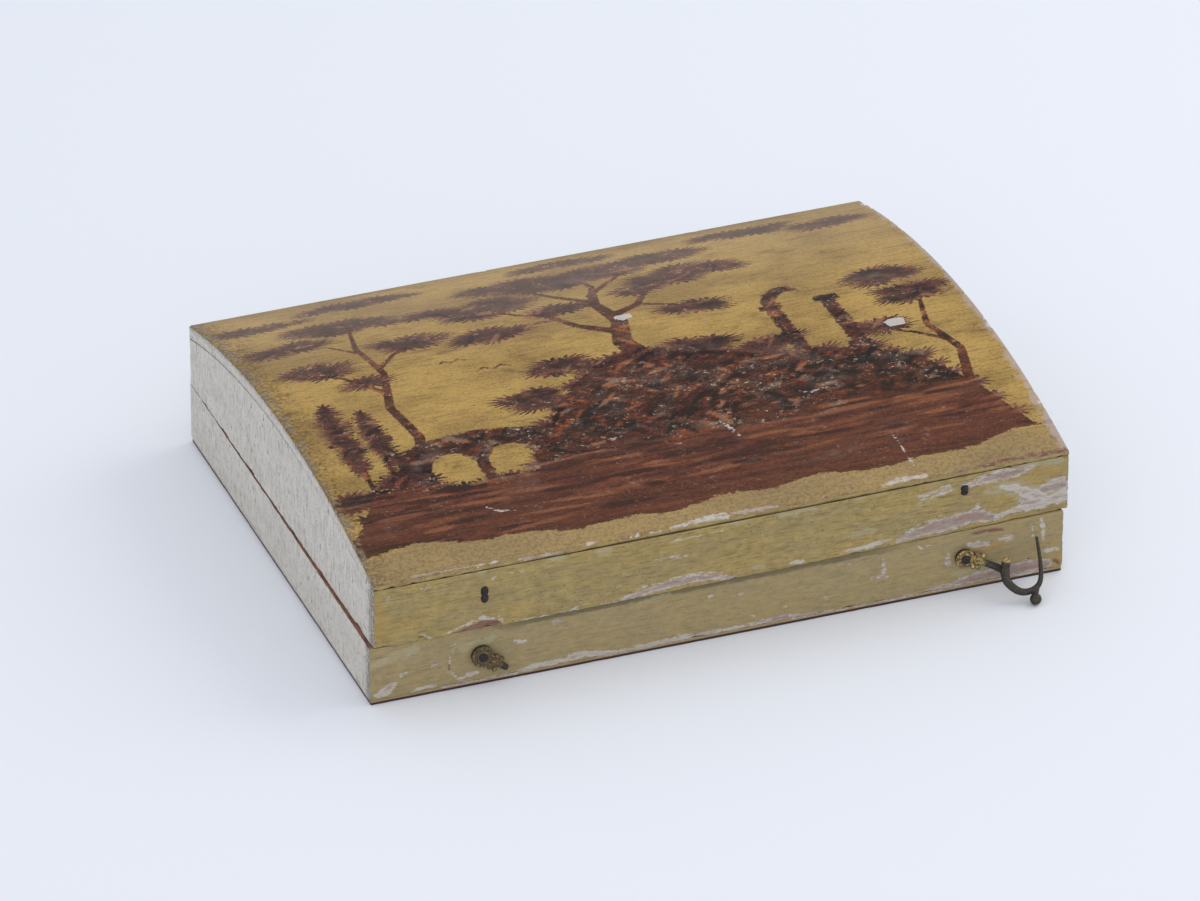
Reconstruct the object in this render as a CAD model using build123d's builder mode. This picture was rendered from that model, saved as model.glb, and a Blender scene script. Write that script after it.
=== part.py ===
"""Ditty box: a small painted wooden letter box with a domed lid.

The case is a tray of nailed boards with a thin bottom board. The lid is a
frame of boards under one bent top board. Two wire-eye hinges join them at the
back, and two cast swivel hooks hang from pins on the front of the tray. The
lid was sawn from the case along a line that is not quite level, and on its
worn hinges it sits a little askew.

Units are millimetres. The origin is the centre of the underside, +X runs to
the right along the front, +Y to the back and +Z up.
"""

import os
from math import atan2, cos, degrees, pi, radians, sin, sqrt

from build123d import *

# ---------------------------------------------------------------- case sizes
CASE_LENGTH = 320.0        # along X, outside the end boards
CASE_DEPTH = 240.0         # along Y, outside the front and back boards
WALL = 9.0                 # thickness of the front, back and end boards
BOTTOM_THICKNESS = 2.5
BOTTOM_INSET = 0.3         # the bottom board stops just short of the walls
CORNER_WEAR = 1.2          # radius worn on the outer upright corners
EDGE_WEAR = 0.5            # radius worn on the smaller edges

# The saw cut between case and lid
SEAM_HEIGHT = 30.2         # at the middle of the box
SEAM_RISE_RIGHT = 2.1      # rise from the left end to the right end
SEAM_RISE_BACK = 1.7       # rise from the front to the back
SEAM_GAP = 0.3

# ----------------------------------------------------------------- lid sizes
LID_OVERLENGTH = 0.8       # how much longer the lid is than the case
SHOULDER_HEIGHT = 60.0     # top of the lid at its front and back edges
CROWN_HEIGHT = 77.0        # top of the lid at the middle of its depth
TOP_THICKNESS = 6.5        # the bent top board
LIP_THICKNESS = 2.7        # what is left of it over the front board
FRONT_BOW = 1.8            # how far the lid's front board has bowed out below
CROWN_BOW = 0.1            # and what is left of that bow at the top
LID_SHIFT = 1.1            # the lid sits this far to the right
LID_SKEW = 0.42            # and is turned by this many degrees

# --------------------------------------------------------------------- nails
NAIL_WIDTH = 1.7           # square shank at the head
NAIL_POINT = 0.7           # square shank at the point
NAIL_LENGTH = 17.0
NAIL_HEAD = 3.2            # square head
NAIL_HEAD_HEIGHT = 0.8
NAIL_SET = 0.8             # how deep the heads lie under the painted surface
BOTTOM_NAIL_LENGTH = 13.0
BOTTOM_NAIL_SET = 0.0      # those heads show, flush with the underside
CORNER_NAIL_MARGIN = 7.0   # nearest nail to the edge of the board
FRONT_BOTTOM_NAILS = 4     # along the front board, and as many at the back
END_BOTTOM_NAILS = 2       # along each end board
END_TOP_NAILS = 5          # through the top board into each end board

# --------------------------------------------------------------- wire hinges
HINGE_SPACING = 190.0      # between the two hinges
HINGE_WIRE = 1.8           # diameter of the iron wire
HINGE_REACH = 3.4          # hinge line to the back of the case
HINGE_LEG_DROP = 5.5       # legs enter the boards this far from the hinge line
HINGE_BAR_LENGTH = 6.4     # between the two legs of the case eye
HINGE_PLAY = 0.4           # between the lid's ring and the bar that it turns on
HINGE_BEND = 1.5           # the two bends of a corner start this far from it
MOST_OF_A_RUN = 0.45       # and never take more than this share of a straight run
LEG_PAIR_SHARE = 0.45      # of the wire, from a split pin's middle to each pressed leg
CLINCH_LENGTH = 7.0        # bent-over end inside the board
CLINCH_GAP = 0.1           # between a clinched end and the board
HAMMERED_SIDES = 8         # flats around a hammered wire or a filed casting
HINGE_RING_SIDES = 16      # flats around a ring bent of that wire
BEAD_SIDES = 6             # flats around a small bead

# ------------------------------------------------------------- swivel hooks
RIGHT_HOOK_INSET = 46.9    # pin to the right end of the case
RIGHT_HOOK_Z = 17.1
RIGHT_HOOK_ANGLE = 5.6     # above level, where the ball rests near the table
LEFT_HOOK_INSET = 50.4     # pin to the left end of the case
LEFT_HOOK_Z = 15.2
LEFT_HOOK_ANGLE = -9.0
RING_RADIUS = 4.2
RING_THICKNESS = 2.6
RING_BEAD = 0.75           # radius of the beads around the rim
RING_BEADS = 14
RING_PLATE_SHARE = 0.7     # of its thickness, the plate between beads and boss
RING_STANDOFF = 0.4        # ring to the front of the case
RING_BOSS_MARGIN = 0.35    # raised boss around the head of the pin
PIN_RADIUS = 1.5
PIN_PLAY = 0.06            # running clearance of the ring on its pin
PIN_HEAD_RADIUS = 2.1
PIN_HEAD_HEIGHT = 0.9
PIN_HEAD_SLOPE = 0.5       # chamfer around the head
PIN_GAP = 0.15             # ring to the head of its pin
PIN_DEPTH = 7.0            # how far the pin is driven into the board
COLLAR_ANGLE = -27.0       # the collar hangs off the ring in this direction
COLLAR_LENGTH = 5.0
COLLAR_WIDTH = 8.2
COLLAR_CORNER = 1.5
COLLAR_SEAT = 0.4          # how far it runs into the ring
COLLAR_THICKNESS = 2.2
COLLAR_BEAD = 1.15         # radius of the six beads on its face
COLLAR_BEAD_HEIGHT = 0.9
COLLAR_BEAD_TAPER = 35.0   # degrees that the side of each bead leans in
FINGER_LEAN = 52.0         # the hook's finger leans out from the front
FINGER_OFFSET = 0.6        # its plane passes this far behind the ring's middle
FINGER_ROOT_RADIUS = 2.1
FINGER_TIP_RADIUS = 0.6
FINGER_TAPER = 1.2         # above 1 it stays full near its root
ARM_RADIUS = 1.4
BALL_RADIUS = 2.75
LEAF_RADIUS = 1.7
FILED_BANDS = 7            # bands from end to end of an oval
FILED_SIDES = 12           # flats around it
FILED_POLE = 0.35          # radians that its flat ends take off
STUB_LENGTH = 6.0          # what is left of the broken left hook's arm
STUB_RADIUS = 1.6

# ------------------------------------------- broken catch eyes on the lid
RIGHT_CATCH_INSET = 49.2   # eye to the right end of the lid
RIGHT_CATCH_DROP = 9.8     # and under its shoulder
LEFT_CATCH_INSET = 50.1    # eye to the left end of the lid
LEFT_CATCH_DROP = 14.6
CATCH_WIDTH = 4.6
RIGHT_CATCH_LEG = 2.3      # height of each of its two legs
LEFT_CATCH_LEG = 4.1
CATCH_LEG_GAP = 0.3
CATCH_CORNER_SHARE = 0.28  # of a leg's height, filed off each of its corners
CATCH_STAND = 2.2          # stub in front of the board
CATCH_DEPTH = 6.5          # legs inside the board

# ------------------------------------------------------------- derived sizes
LID_LENGTH = CASE_LENGTH + LID_OVERLENGTH
HALF_LENGTH = CASE_LENGTH / 2
HALF_DEPTH = CASE_DEPTH / 2
HALF_LID = LID_LENGTH / 2
INNER_DEPTH = HALF_DEPTH - WALL
WALL_MIDDLE = HALF_DEPTH - WALL / 2
DOME_RISE = CROWN_HEIGHT - SHOULDER_HEIGHT
DOME_RADIUS = (HALF_DEPTH**2 + DOME_RISE**2) / (2 * DOME_RISE)
DOME_CENTRE = CROWN_HEIGHT - DOME_RADIUS
SLOPE_X = SEAM_RISE_RIGHT / CASE_LENGTH
SLOPE_Y = SEAM_RISE_BACK / CASE_DEPTH
HINGE_Y = HALF_DEPTH + HINGE_REACH
RIGHT_HOOK_X = HALF_LENGTH - RIGHT_HOOK_INSET
LEFT_HOOK_X = LEFT_HOOK_INSET - HALF_LENGTH
RIGHT_CATCH_X = HALF_LID - RIGHT_CATCH_INSET
RIGHT_CATCH_Z = SHOULDER_HEIGHT - RIGHT_CATCH_DROP
LEFT_CATCH_X = LEFT_CATCH_INSET - HALF_LID
LEFT_CATCH_Z = SHOULDER_HEIGHT - LEFT_CATCH_DROP
COLLAR_DISTANCE = RING_RADIUS + COLLAR_LENGTH / 2 - COLLAR_SEAT
BOARD_STOCK = CROWN_HEIGHT  # boards start this tall and are sawn to the seam


def seam_height(x, y):
    """Height of the middle of the saw cut above the point (x, y)."""
    return SEAM_HEIGHT + SLOPE_X * x + SLOPE_Y * y


def seam_plane(offset):
    """The plane of the saw cut, moved up by offset."""
    return Plane(origin=(0, 0, SEAM_HEIGHT + offset), z_dir=(-SLOPE_X, -SLOPE_Y, 1))


def dome_height(y, depth=0.0):
    """Height of the dome at y, measured depth under the lid's outer surface."""
    return DOME_CENTRE + sqrt((DOME_RADIUS - depth) ** 2 - y**2)


CASE_TOP = seam_plane(-SEAM_GAP / 2)
LID_RIM = seam_plane(SEAM_GAP / 2)
HINGE_Z = seam_height(0, HALF_DEPTH)

# The lid's own frame, and the plane of its cross-section at the left end
LID = Plane(
    origin=(LID_SHIFT, 0, 0),
    x_dir=(cos(radians(LID_SKEW)), sin(radians(LID_SKEW)), 0),
    z_dir=(0, 0, 1),
)


def lid_section(x):
    """Plane across the lid at x in the lid's frame, seen from the right."""
    return Plane(origin=LID.from_local_coords((x, 0, 0)), x_dir=LID.y_dir, z_dir=LID.x_dir)


def lid_point(x, y, z):
    """A point of the lid's frame as a point of the box."""
    return LID.from_local_coords((x, y, z))


os.makedirs("parts", exist_ok=True)


def save(part, name):
    """Label one finished piece and write it to its own file."""
    part.label = name
    export_step(part, f"parts/{name}.step")
    return part


def spread(low, high, count):
    """Count evenly spaced places from low to high, both included."""
    step = (high - low) / (count - 1)
    return [low + step * index for index in range(count)]


# ==================================================================== nails
def nail(length):
    """A forged square nail with its head's top at the origin, pointing down."""
    with BuildPart() as blank:
        with BuildSketch(Plane.XY.offset(-NAIL_HEAD_HEIGHT)):
            Rectangle(NAIL_WIDTH, NAIL_WIDTH)
        with BuildSketch(Plane.XY.offset(-length)):
            Rectangle(NAIL_POINT, NAIL_POINT)
        loft()
        with BuildSketch():
            Rectangle(NAIL_HEAD, NAIL_HEAD)
        extrude(amount=-NAIL_HEAD_HEIGHT)
    return blank.part


def nail_group(length, planes):
    """The same nail driven in along each plane's normal, as separate solids."""
    shape = nail(length)
    with BuildPart() as group:
        for plane in planes:
            with Locations(plane):
                add(shape)
    return group.part


def corner_planes(frame, half_length, heights):
    """Nails through the front and back boards into the ends of the end boards."""
    planes = []
    for side_y in (-1, 1):
        for side_x in (-1, 1):
            for height in heights:
                place = (side_x * (half_length - WALL / 2), side_y * (HALF_DEPTH - NAIL_SET), height)
                planes.append(Plane(frame.from_local_coords(place), z_dir=side_y * frame.y_dir))
    return planes


def bottom_planes():
    """Nails up through the bottom board into the four walls."""
    places = []
    for side in (-1, 1):
        along_front = HALF_LENGTH * (1 - 1 / FRONT_BOTTOM_NAILS)
        places += [(x, side * WALL_MIDDLE) for x in spread(-along_front, along_front, FRONT_BOTTOM_NAILS)]
        along_end = HALF_DEPTH / 2
        places += [(side * (HALF_LENGTH - WALL / 2), y) for y in spread(-along_end, along_end, END_BOTTOM_NAILS)]
    return [Plane((x, y, BOTTOM_NAIL_SET), z_dir=(0, 0, -1)) for x, y in places]


def top_planes():
    """Nails through the bent top board, square to its surface."""
    planes = []
    reach = INNER_DEPTH * 0.8
    for side in (-1, 1):
        for y in spread(-reach, reach, END_TOP_NAILS):
            place = lid_point(side * (HALF_LID - WALL / 2), y, dome_height(y, NAIL_SET))
            planes.append(Plane(place, z_dir=place - lid_point(side * (HALF_LID - WALL / 2), 0, DOME_CENTRE)))
    return planes


case_heights = (BOTTOM_THICKNESS + CORNER_NAIL_MARGIN, SEAM_HEIGHT - CORNER_NAIL_MARGIN)
lid_heights = (SEAM_HEIGHT + CORNER_NAIL_MARGIN, SHOULDER_HEIGHT - TOP_THICKNESS - CORNER_NAIL_MARGIN)
base_bottom_nails = save(nail_group(BOTTOM_NAIL_LENGTH, bottom_planes()), "base_bottom_nails")
base_corner_nails = save(nail_group(NAIL_LENGTH, corner_planes(Plane.XY, HALF_LENGTH, case_heights)), "base_corner_nails")
lid_corner_nails = save(nail_group(NAIL_LENGTH, corner_planes(LID, HALF_LID, lid_heights)), "lid_corner_nails")
lid_top_nails = save(nail_group(NAIL_LENGTH, top_planes()), "lid_top_nails")


# ============================================================== wire hinges
def wire(points):
    """Hammered iron wire through points, each corner knocked over in two bends."""
    runs = [(Vector(*end) - Vector(*start)).length for start, end in zip(points, points[1:])]
    bend = min(HINGE_BEND, MOST_OF_A_RUN * min(runs))
    route_points = [points[0]]
    for before, corner, after in zip(points, points[1:], points[2:]):
        for neighbour in (before, after):
            toward = (Vector(*neighbour) - Vector(*corner)).normalized()
            route_points.append(Vector(*corner) + toward * bend)
    route_points.append(points[-1])
    with BuildPart() as bent:
        with BuildLine() as route:
            Polyline(*route_points)
        with BuildSketch(Plane(route.line @ 0, z_dir=route.line % 0)):
            RegularPolygon(HINGE_WIRE / 2, HAMMERED_SIDES)
        sweep(transition=Transition.RIGHT)
    return bent.part


CLINCH_Y = INNER_DEPTH - HINGE_WIRE / 2 - CLINCH_GAP


def case_eye(x):
    """A staple whose bar is the hinge pin, its legs clinched apart inside."""
    leg = HINGE_BAR_LENGTH / 2
    low = HINGE_Z - HINGE_LEG_DROP
    half = [
        (leg + CLINCH_LENGTH, CLINCH_Y, low),
        (leg, CLINCH_Y, low),
        (leg, HINGE_Y, low),
        (leg, HINGE_Y, HINGE_Z),
    ]
    right = [(x + along, y, z) for along, y, z in half]
    left = [(x - along, y, z) for along, y, z in reversed(half)]
    return wire(right + left)


def lid_eye(x):
    """A split pin whose ring turns on the bar, its legs clinched apart inside."""
    ring_radius = HINGE_WIRE + HINGE_PLAY
    half_pair = HINGE_WIRE * LEG_PAIR_SHARE
    with BuildPart() as eye:
        with BuildSketch(Plane((x - HINGE_WIRE / 2, HINGE_Y, HINGE_Z), x_dir=(0, 1, 0), z_dir=(1, 0, 0))):
            RegularPolygon(ring_radius + HINGE_WIRE / 2, HINGE_RING_SIDES)
            RegularPolygon(ring_radius - HINGE_WIRE / 2, HINGE_RING_SIDES, mode=Mode.SUBTRACT)
        extrude(amount=HINGE_WIRE)
        chamfer(eye.faces().filter_by(Axis.X).edges(), HINGE_WIRE / 4)
        for side in (-1, 1):
            y = HINGE_Y + side * half_pair
            high = HINGE_Z + HINGE_LEG_DROP + side * half_pair
            add(
                wire(
                    [
                        (x, y, HINGE_Z + ring_radius - HINGE_WIRE / 4),
                        (x, y, high),
                        (x, CLINCH_Y, high),
                        (x + side * CLINCH_LENGTH, CLINCH_Y, high),
                    ]
                )
            )
    return eye.part


case_eyes = {}
lid_eyes = {}
for side, hand in ((-1, "left"), (1, "right")):
    hinge_x = side * HINGE_SPACING / 2
    case_eyes[hand] = save(case_eye(hinge_x), f"{hand}_hinge_base_eye")
    lid_eyes[hand] = save(lid_eye(hinge_x), f"{hand}_hinge_lid_eye")


# ============================================================ swivel hooks
def swivel_frame(x, z, angle):
    """Frame of a hook: x along it at angle above level, z out of the front."""
    middle = HALF_DEPTH + RING_STANDOFF + RING_THICKNESS / 2
    along = (cos(radians(angle)), 0, sin(radians(angle)))
    return Plane(origin=(x, -middle, z), x_dir=along, z_dir=(0, -1, 0))


def hook_pin(frame):
    """A headed pin that holds a hook's ring to the front of the case."""
    front = RING_THICKNESS / 2 + PIN_GAP
    back = RING_THICKNESS / 2 + RING_STANDOFF + PIN_DEPTH
    with BuildPart() as pin:
        with BuildSketch(frame.offset(-back)):
            Circle(PIN_RADIUS)
        extrude(amount=back + front)
        with BuildSketch(frame.offset(front)):
            RegularPolygon(PIN_HEAD_RADIUS, FILED_SIDES)
        extrude(amount=PIN_HEAD_HEIGHT)
        chamfer(pin.faces().sort_by(Axis.Y)[0].edges(), PIN_HEAD_SLOPE)
    return pin.part


def ring_and_collar():
    """The beaded ring of a hook and the beaded collar beside it, in the hook's frame."""
    half = RING_THICKNESS / 2
    bore = PIN_RADIUS + PIN_PLAY
    boss = PIN_HEAD_RADIUS + RING_BOSS_MARGIN
    collar = Plane(
        origin=(COLLAR_DISTANCE * cos(radians(COLLAR_ANGLE)), COLLAR_DISTANCE * sin(radians(COLLAR_ANGLE)), 0),
        x_dir=(cos(radians(COLLAR_ANGLE)), sin(radians(COLLAR_ANGLE)), 0),
        z_dir=(0, 0, 1),
    )
    with BuildPart() as head:
        with BuildSketch(Plane.XY.offset(-half)):
            RegularPolygon(RING_RADIUS, 2 * RING_BEADS)
            Circle(bore, mode=Mode.SUBTRACT)
        extrude(amount=RING_THICKNESS * RING_PLATE_SHARE)
        with BuildSketch(Plane.XY.offset(-half)):
            with PolarLocations(RING_RADIUS - RING_BEAD, RING_BEADS):
                RegularPolygon(RING_BEAD, BEAD_SIDES)
        extrude(amount=RING_THICKNESS)
        with BuildSketch(Plane.XY):
            RegularPolygon(boss, RING_BEADS)
            Circle(bore, mode=Mode.SUBTRACT)
        extrude(amount=half)
        with BuildSketch(collar.offset(-COLLAR_THICKNESS / 2)):
            RectangleRounded(COLLAR_LENGTH, COLLAR_WIDTH, COLLAR_CORNER)
        extrude(amount=COLLAR_THICKNESS)
        with BuildSketch(collar.offset(COLLAR_THICKNESS / 2)):
            with GridLocations(COLLAR_LENGTH / 2, COLLAR_WIDTH / 3, 2, 3):
                RegularPolygon(COLLAR_BEAD, HAMMERED_SIDES)
        extrude(amount=COLLAR_BEAD_HEIGHT, taper=COLLAR_BEAD_TAPER)
    return head.part


def filed_oval(length, radius):
    """An oval body along +Z from the origin, filed to flats in bands."""
    with BuildPart() as body:
        for row in spread(FILED_POLE, pi - FILED_POLE, FILED_BANDS + 1):
            with BuildSketch(Plane.XY.offset(length * (1 - cos(row)) / 2)):
                RegularPolygon(radius * sin(row), FILED_SIDES)
        loft(ruled=True)
    return body.part


# The finger: a flat curve in a plane that leans out from the front, measured
# from the pin: x along the hook, y down the leaning plane
FINGER = Plane(
    origin=(0, 0, -FINGER_OFFSET),
    x_dir=(1, 0, 0),
    z_dir=(0, -sin(radians(FINGER_LEAN)), -cos(radians(FINGER_LEAN))),
)
FINGER_CURVE = [(15.0, 11.0), (14.3, 16.0), (17.6, 21.4), (22.6, 22.8), (28.0, 20.2), (31.4, 12.0), (34.1, -0.1)]
FINGER_FORK = (25.3, 22.3)
FINGER_BALL = (23.5, 27.0)
ARM_CURVE = [(7.2, -3.8, 0.1), (12.4, -6.3, 3.0)]
LEAF_TOP = (17.4, -1.6, 5.4)
SECTION_COUNT = 8          # sections that the finger is lofted through


def swivel_hook():
    """The whole hook in its own frame, one casting from ring to tip and ball."""
    root = FINGER.from_local_coords(FINGER_CURVE[0] + (0,))
    fork = FINGER.from_local_coords(FINGER_FORK + (0,))
    ball = FINGER.from_local_coords(FINGER_BALL + (0,))
    leaf = filed_oval((Vector(*LEAF_TOP) - root).length + LEAF_RADIUS, LEAF_RADIUS)
    knuckle = filed_oval(FINGER_ROOT_RADIUS * 2, FINGER_ROOT_RADIUS)
    ball_end = filed_oval(BALL_RADIUS * 2, BALL_RADIUS)
    with BuildPart() as hook:
        add(ring_and_collar())
        with BuildLine() as arm:
            Spline(*ARM_CURVE, root)
        with BuildSketch(Plane(arm.line @ 0, z_dir=arm.line % 0)):
            RegularPolygon(ARM_RADIUS, HAMMERED_SIDES)
        sweep(path=arm.line)
        with BuildLine(mode=Mode.PRIVATE) as curve:
            Spline(*[FINGER.from_local_coords(point + (0,)) for point in FINGER_CURVE])
        for share in spread(0, 1, SECTION_COUNT):
            with BuildSketch(Plane(curve.line @ share, x_dir=FINGER.z_dir, z_dir=curve.line % share)):
                radius = FINGER_ROOT_RADIUS + (FINGER_TIP_RADIUS - FINGER_ROOT_RADIUS) * share**FINGER_TAPER
                RegularPolygon(radius, HAMMERED_SIDES)
        loft()
        with Locations(root - Vector(0, 0, FINGER_ROOT_RADIUS)):
            add(knuckle)
        with BuildSketch(Plane(fork, z_dir=ball - fork)):
            RegularPolygon(ARM_RADIUS, HAMMERED_SIDES)
        extrude(amount=(ball - fork).length)
        with Locations(ball - Vector(0, 0, BALL_RADIUS)):
            add(ball_end)
        with Locations(Plane(root, z_dir=Vector(*LEAF_TOP) - root)):
            add(leaf)
    return hook.part


def broken_hook():
    """Ring, collar and the short stub that is left of the other hook."""
    direction = (cos(radians(COLLAR_ANGLE)), sin(radians(COLLAR_ANGLE)), 0)
    start = tuple(COLLAR_DISTANCE * part for part in direction)
    with BuildPart() as hook:
        add(ring_and_collar())
        with BuildSketch(Plane(start, z_dir=direction)):
            RegularPolygon(ARM_RADIUS, HAMMERED_SIDES)
        with BuildSketch(Plane(start, z_dir=direction).offset(STUB_LENGTH)):
            RegularPolygon(STUB_RADIUS, HAMMERED_SIDES)
        loft()
    return hook.part


right_frame = swivel_frame(RIGHT_HOOK_X, RIGHT_HOOK_Z, RIGHT_HOOK_ANGLE)
left_frame = swivel_frame(LEFT_HOOK_X, LEFT_HOOK_Z, LEFT_HOOK_ANGLE)
right_hook_pin = save(hook_pin(right_frame), "right_hook_pin")
left_hook_pin = save(hook_pin(left_frame), "left_hook_pin")

for name, frame, casting in (
    ("right_hook", right_frame, swivel_hook()),
    ("left_hook_stub", left_frame, broken_hook()),
):
    with BuildPart() as hook:
        with Locations(frame):
            add(casting)
    save(hook.part, name)


# ============================================== broken catch eyes on the lid
def catch_eye(x, z, leg):
    """The two snapped legs of an iron eye, one above the other, as two solids."""
    root = Plane(lid_point(x, -HALF_DEPTH + CATCH_DEPTH, z), x_dir=LID.x_dir, z_dir=-LID.y_dir)
    with BuildPart() as eye:
        with BuildSketch(root) as legs:
            with GridLocations(0, leg + CATCH_LEG_GAP, 1, 2):
                Rectangle(CATCH_WIDTH, leg)
            chamfer(legs.vertices(), leg * CATCH_CORNER_SHARE)
        extrude(amount=CATCH_DEPTH + CATCH_STAND)
    return eye.part


right_catch = save(catch_eye(RIGHT_CATCH_X, RIGHT_CATCH_Z, RIGHT_CATCH_LEG), "right_catch")
left_catch = save(catch_eye(LEFT_CATCH_X, LEFT_CATCH_Z, LEFT_CATCH_LEG), "left_catch")


# ===================================================================== case
with BuildPart() as base_bottom:
    with BuildSketch():
        Rectangle(CASE_LENGTH - 2 * BOTTOM_INSET, CASE_DEPTH - 2 * BOTTOM_INSET)
    extrude(amount=BOTTOM_THICKNESS)
    fillet(base_bottom.edges().filter_by(Axis.Z), CORNER_WEAR)
    add(base_bottom_nails, mode=Mode.SUBTRACT)
save(base_bottom.part, "base_bottom")

for side, name, fittings in (
    (-1, "base_front", [right_hook_pin, left_hook_pin]),
    (1, "base_back", [case_eyes["left"], case_eyes["right"]]),
):
    with BuildPart() as board:
        with BuildSketch(Plane.XY.offset(BOTTOM_THICKNESS)) as foot:
            with Locations((0, side * WALL_MIDDLE)):
                Rectangle(CASE_LENGTH, WALL)
            fillet(foot.vertices().group_by(Axis.Y)[0 if side < 0 else -1], CORNER_WEAR)
        extrude(amount=BOARD_STOCK)
        split(bisect_by=CASE_TOP, keep=Keep.BOTTOM)
        add([base_bottom_nails, base_corner_nails], mode=Mode.SUBTRACT)
        add(fittings, mode=Mode.SUBTRACT)
    save(board.part, name)

for side, name in ((-1, "base_left_end"), (1, "base_right_end")):
    with BuildPart() as board:
        with BuildSketch(Plane.XY.offset(BOTTOM_THICKNESS)):
            with Locations((side * (HALF_LENGTH - WALL / 2), 0)):
                Rectangle(WALL, 2 * INNER_DEPTH)
        extrude(amount=BOARD_STOCK)
        split(bisect_by=CASE_TOP, keep=Keep.BOTTOM)
        add([base_bottom_nails, base_corner_nails], mode=Mode.SUBTRACT)
    save(board.part, name)


# ====================================================================== lid
def dome_cylinder(depth):
    """Everything under the dome's surface less depth, the whole lid long."""
    with BuildPart() as block:
        with BuildSketch(lid_section(-LID_LENGTH)):
            with Locations((0, DOME_CENTRE)):
                Circle(DOME_RADIUS - depth)
        extrude(amount=2 * LID_LENGTH)
    return block.part


def front_outline(height, bow):
    """Outline of the lid's front board at one height, bowed between its ends."""
    span = HALF_LID - WALL
    with BuildSketch(LID.offset(height)) as outline:
        with BuildLine():
            for y in (-HALF_DEPTH, -INNER_DEPTH):
                Line((-HALF_LID, y), (-span, y))
                ThreePointArc((-span, y), (0, y - bow), (span, y))
                Line((span, y), (HALF_LID, y))
            for x in (-HALF_LID, HALF_LID):
                Line((x, -HALF_DEPTH), (x, -INNER_DEPTH))
        make_face()
        corners = outline.vertices().group_by(Axis.Y)[0].sort_by(Axis.X)
        fillet([corners[0], corners[-1]], CORNER_WEAR)
    return outline.sketch


LID_X = Axis(LID.origin, LID.x_dir)
LID_Y = Axis(LID.origin, LID.y_dir)
under_lip = dome_cylinder(LIP_THICKNESS)
under_top = dome_cylinder(TOP_THICKNESS)
low_stock = SEAM_HEIGHT - SEAM_RISE_RIGHT - SEAM_RISE_BACK

with BuildPart() as lid_front:
    loft([front_outline(low_stock, FRONT_BOW), front_outline(CROWN_HEIGHT, CROWN_BOW)])
    split(bisect_by=LID_RIM, keep=Keep.TOP)
    add(under_lip, mode=Mode.INTERSECT)
    add([lid_corner_nails, right_catch, left_catch], mode=Mode.SUBTRACT)
save(lid_front.part, "lid_front")

with BuildPart() as lid_back:
    with BuildSketch(LID.offset(low_stock)) as foot:
        with Locations((0, WALL_MIDDLE)):
            Rectangle(LID_LENGTH, WALL)
    extrude(amount=BOARD_STOCK)
    uprights = lid_back.edges().filter_by(Axis.Z).group_by(LID_Y)[-1]
    fillet(uprights, CORNER_WEAR)
    split(bisect_by=LID_RIM, keep=Keep.TOP)
    add(under_top, mode=Mode.INTERSECT)
    add([lid_corner_nails, lid_eyes["left"], lid_eyes["right"]], mode=Mode.SUBTRACT)
save(lid_back.part, "lid_back")

for side, name in ((-1, "lid_left_end"), (1, "lid_right_end")):
    with BuildPart() as board:
        with BuildSketch(LID.offset(low_stock)):
            with Locations((side * (HALF_LID - WALL / 2), 0)):
                Rectangle(WALL, 2 * INNER_DEPTH)
        extrude(amount=BOARD_STOCK)
        split(bisect_by=LID_RIM, keep=Keep.TOP)
        add(under_top, mode=Mode.INTERSECT)
        add([lid_corner_nails, lid_top_nails], mode=Mode.SUBTRACT)
    save(board.part, name)

with BuildPart() as lid_top:
    with BuildSketch(lid_section(-HALF_LID)) as section:
        with BuildLine():
            rebate = -INNER_DEPTH
            lip_middle = (rebate - HALF_DEPTH) / 2
            ThreePointArc(
                (-HALF_DEPTH, dome_height(HALF_DEPTH)), (0, CROWN_HEIGHT), (HALF_DEPTH, dome_height(HALF_DEPTH))
            )
            Line((HALF_DEPTH, dome_height(HALF_DEPTH)), (HALF_DEPTH, dome_height(HALF_DEPTH, TOP_THICKNESS)))
            ThreePointArc(
                (HALF_DEPTH, dome_height(HALF_DEPTH, TOP_THICKNESS)),
                (0, CROWN_HEIGHT - TOP_THICKNESS),
                (rebate, dome_height(rebate, TOP_THICKNESS)),
            )
            Line((rebate, dome_height(rebate, TOP_THICKNESS)), (rebate, dome_height(rebate, LIP_THICKNESS)))
            ThreePointArc(
                (rebate, dome_height(rebate, LIP_THICKNESS)),
                (lip_middle, dome_height(lip_middle, LIP_THICKNESS)),
                (-HALF_DEPTH, dome_height(HALF_DEPTH, LIP_THICKNESS)),
            )
            Line((-HALF_DEPTH, dome_height(HALF_DEPTH, LIP_THICKNESS)), (-HALF_DEPTH, dome_height(HALF_DEPTH)))
        make_face()
        sides = section.vertices().group_by(Axis.X)
        fillet([side.sort_by(Axis.Y)[-1] for side in (sides[0], sides[-1])], CORNER_WEAR)
    extrude(amount=LID_LENGTH)
    ends = lid_top.faces().sort_by(LID_X)
    chamfer([end.edges().sort_by(SortBy.LENGTH)[-1] for end in (ends[0], ends[-1])], EDGE_WEAR)
    add(lid_top_nails, mode=Mode.SUBTRACT)
save(lid_top.part, "lid_top")
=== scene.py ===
"""Looks of a small painted ditty box: a shallow nailed tray under a domed lid.

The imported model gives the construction. This script gives every board its worn,
painted surface, the lid its painted landscape, and the two swivel hooks, the
catches and the wire hinges their metal. Sizes are in millimetres in the classes
and become metres where a mesh is written.
"""

import logging
import math
import random
from dataclasses import dataclass, field
from enum import Enum
from typing import Sequence

import bmesh
import bpy
import numpy as np
from mathutils import Matrix, Vector, noise


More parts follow.
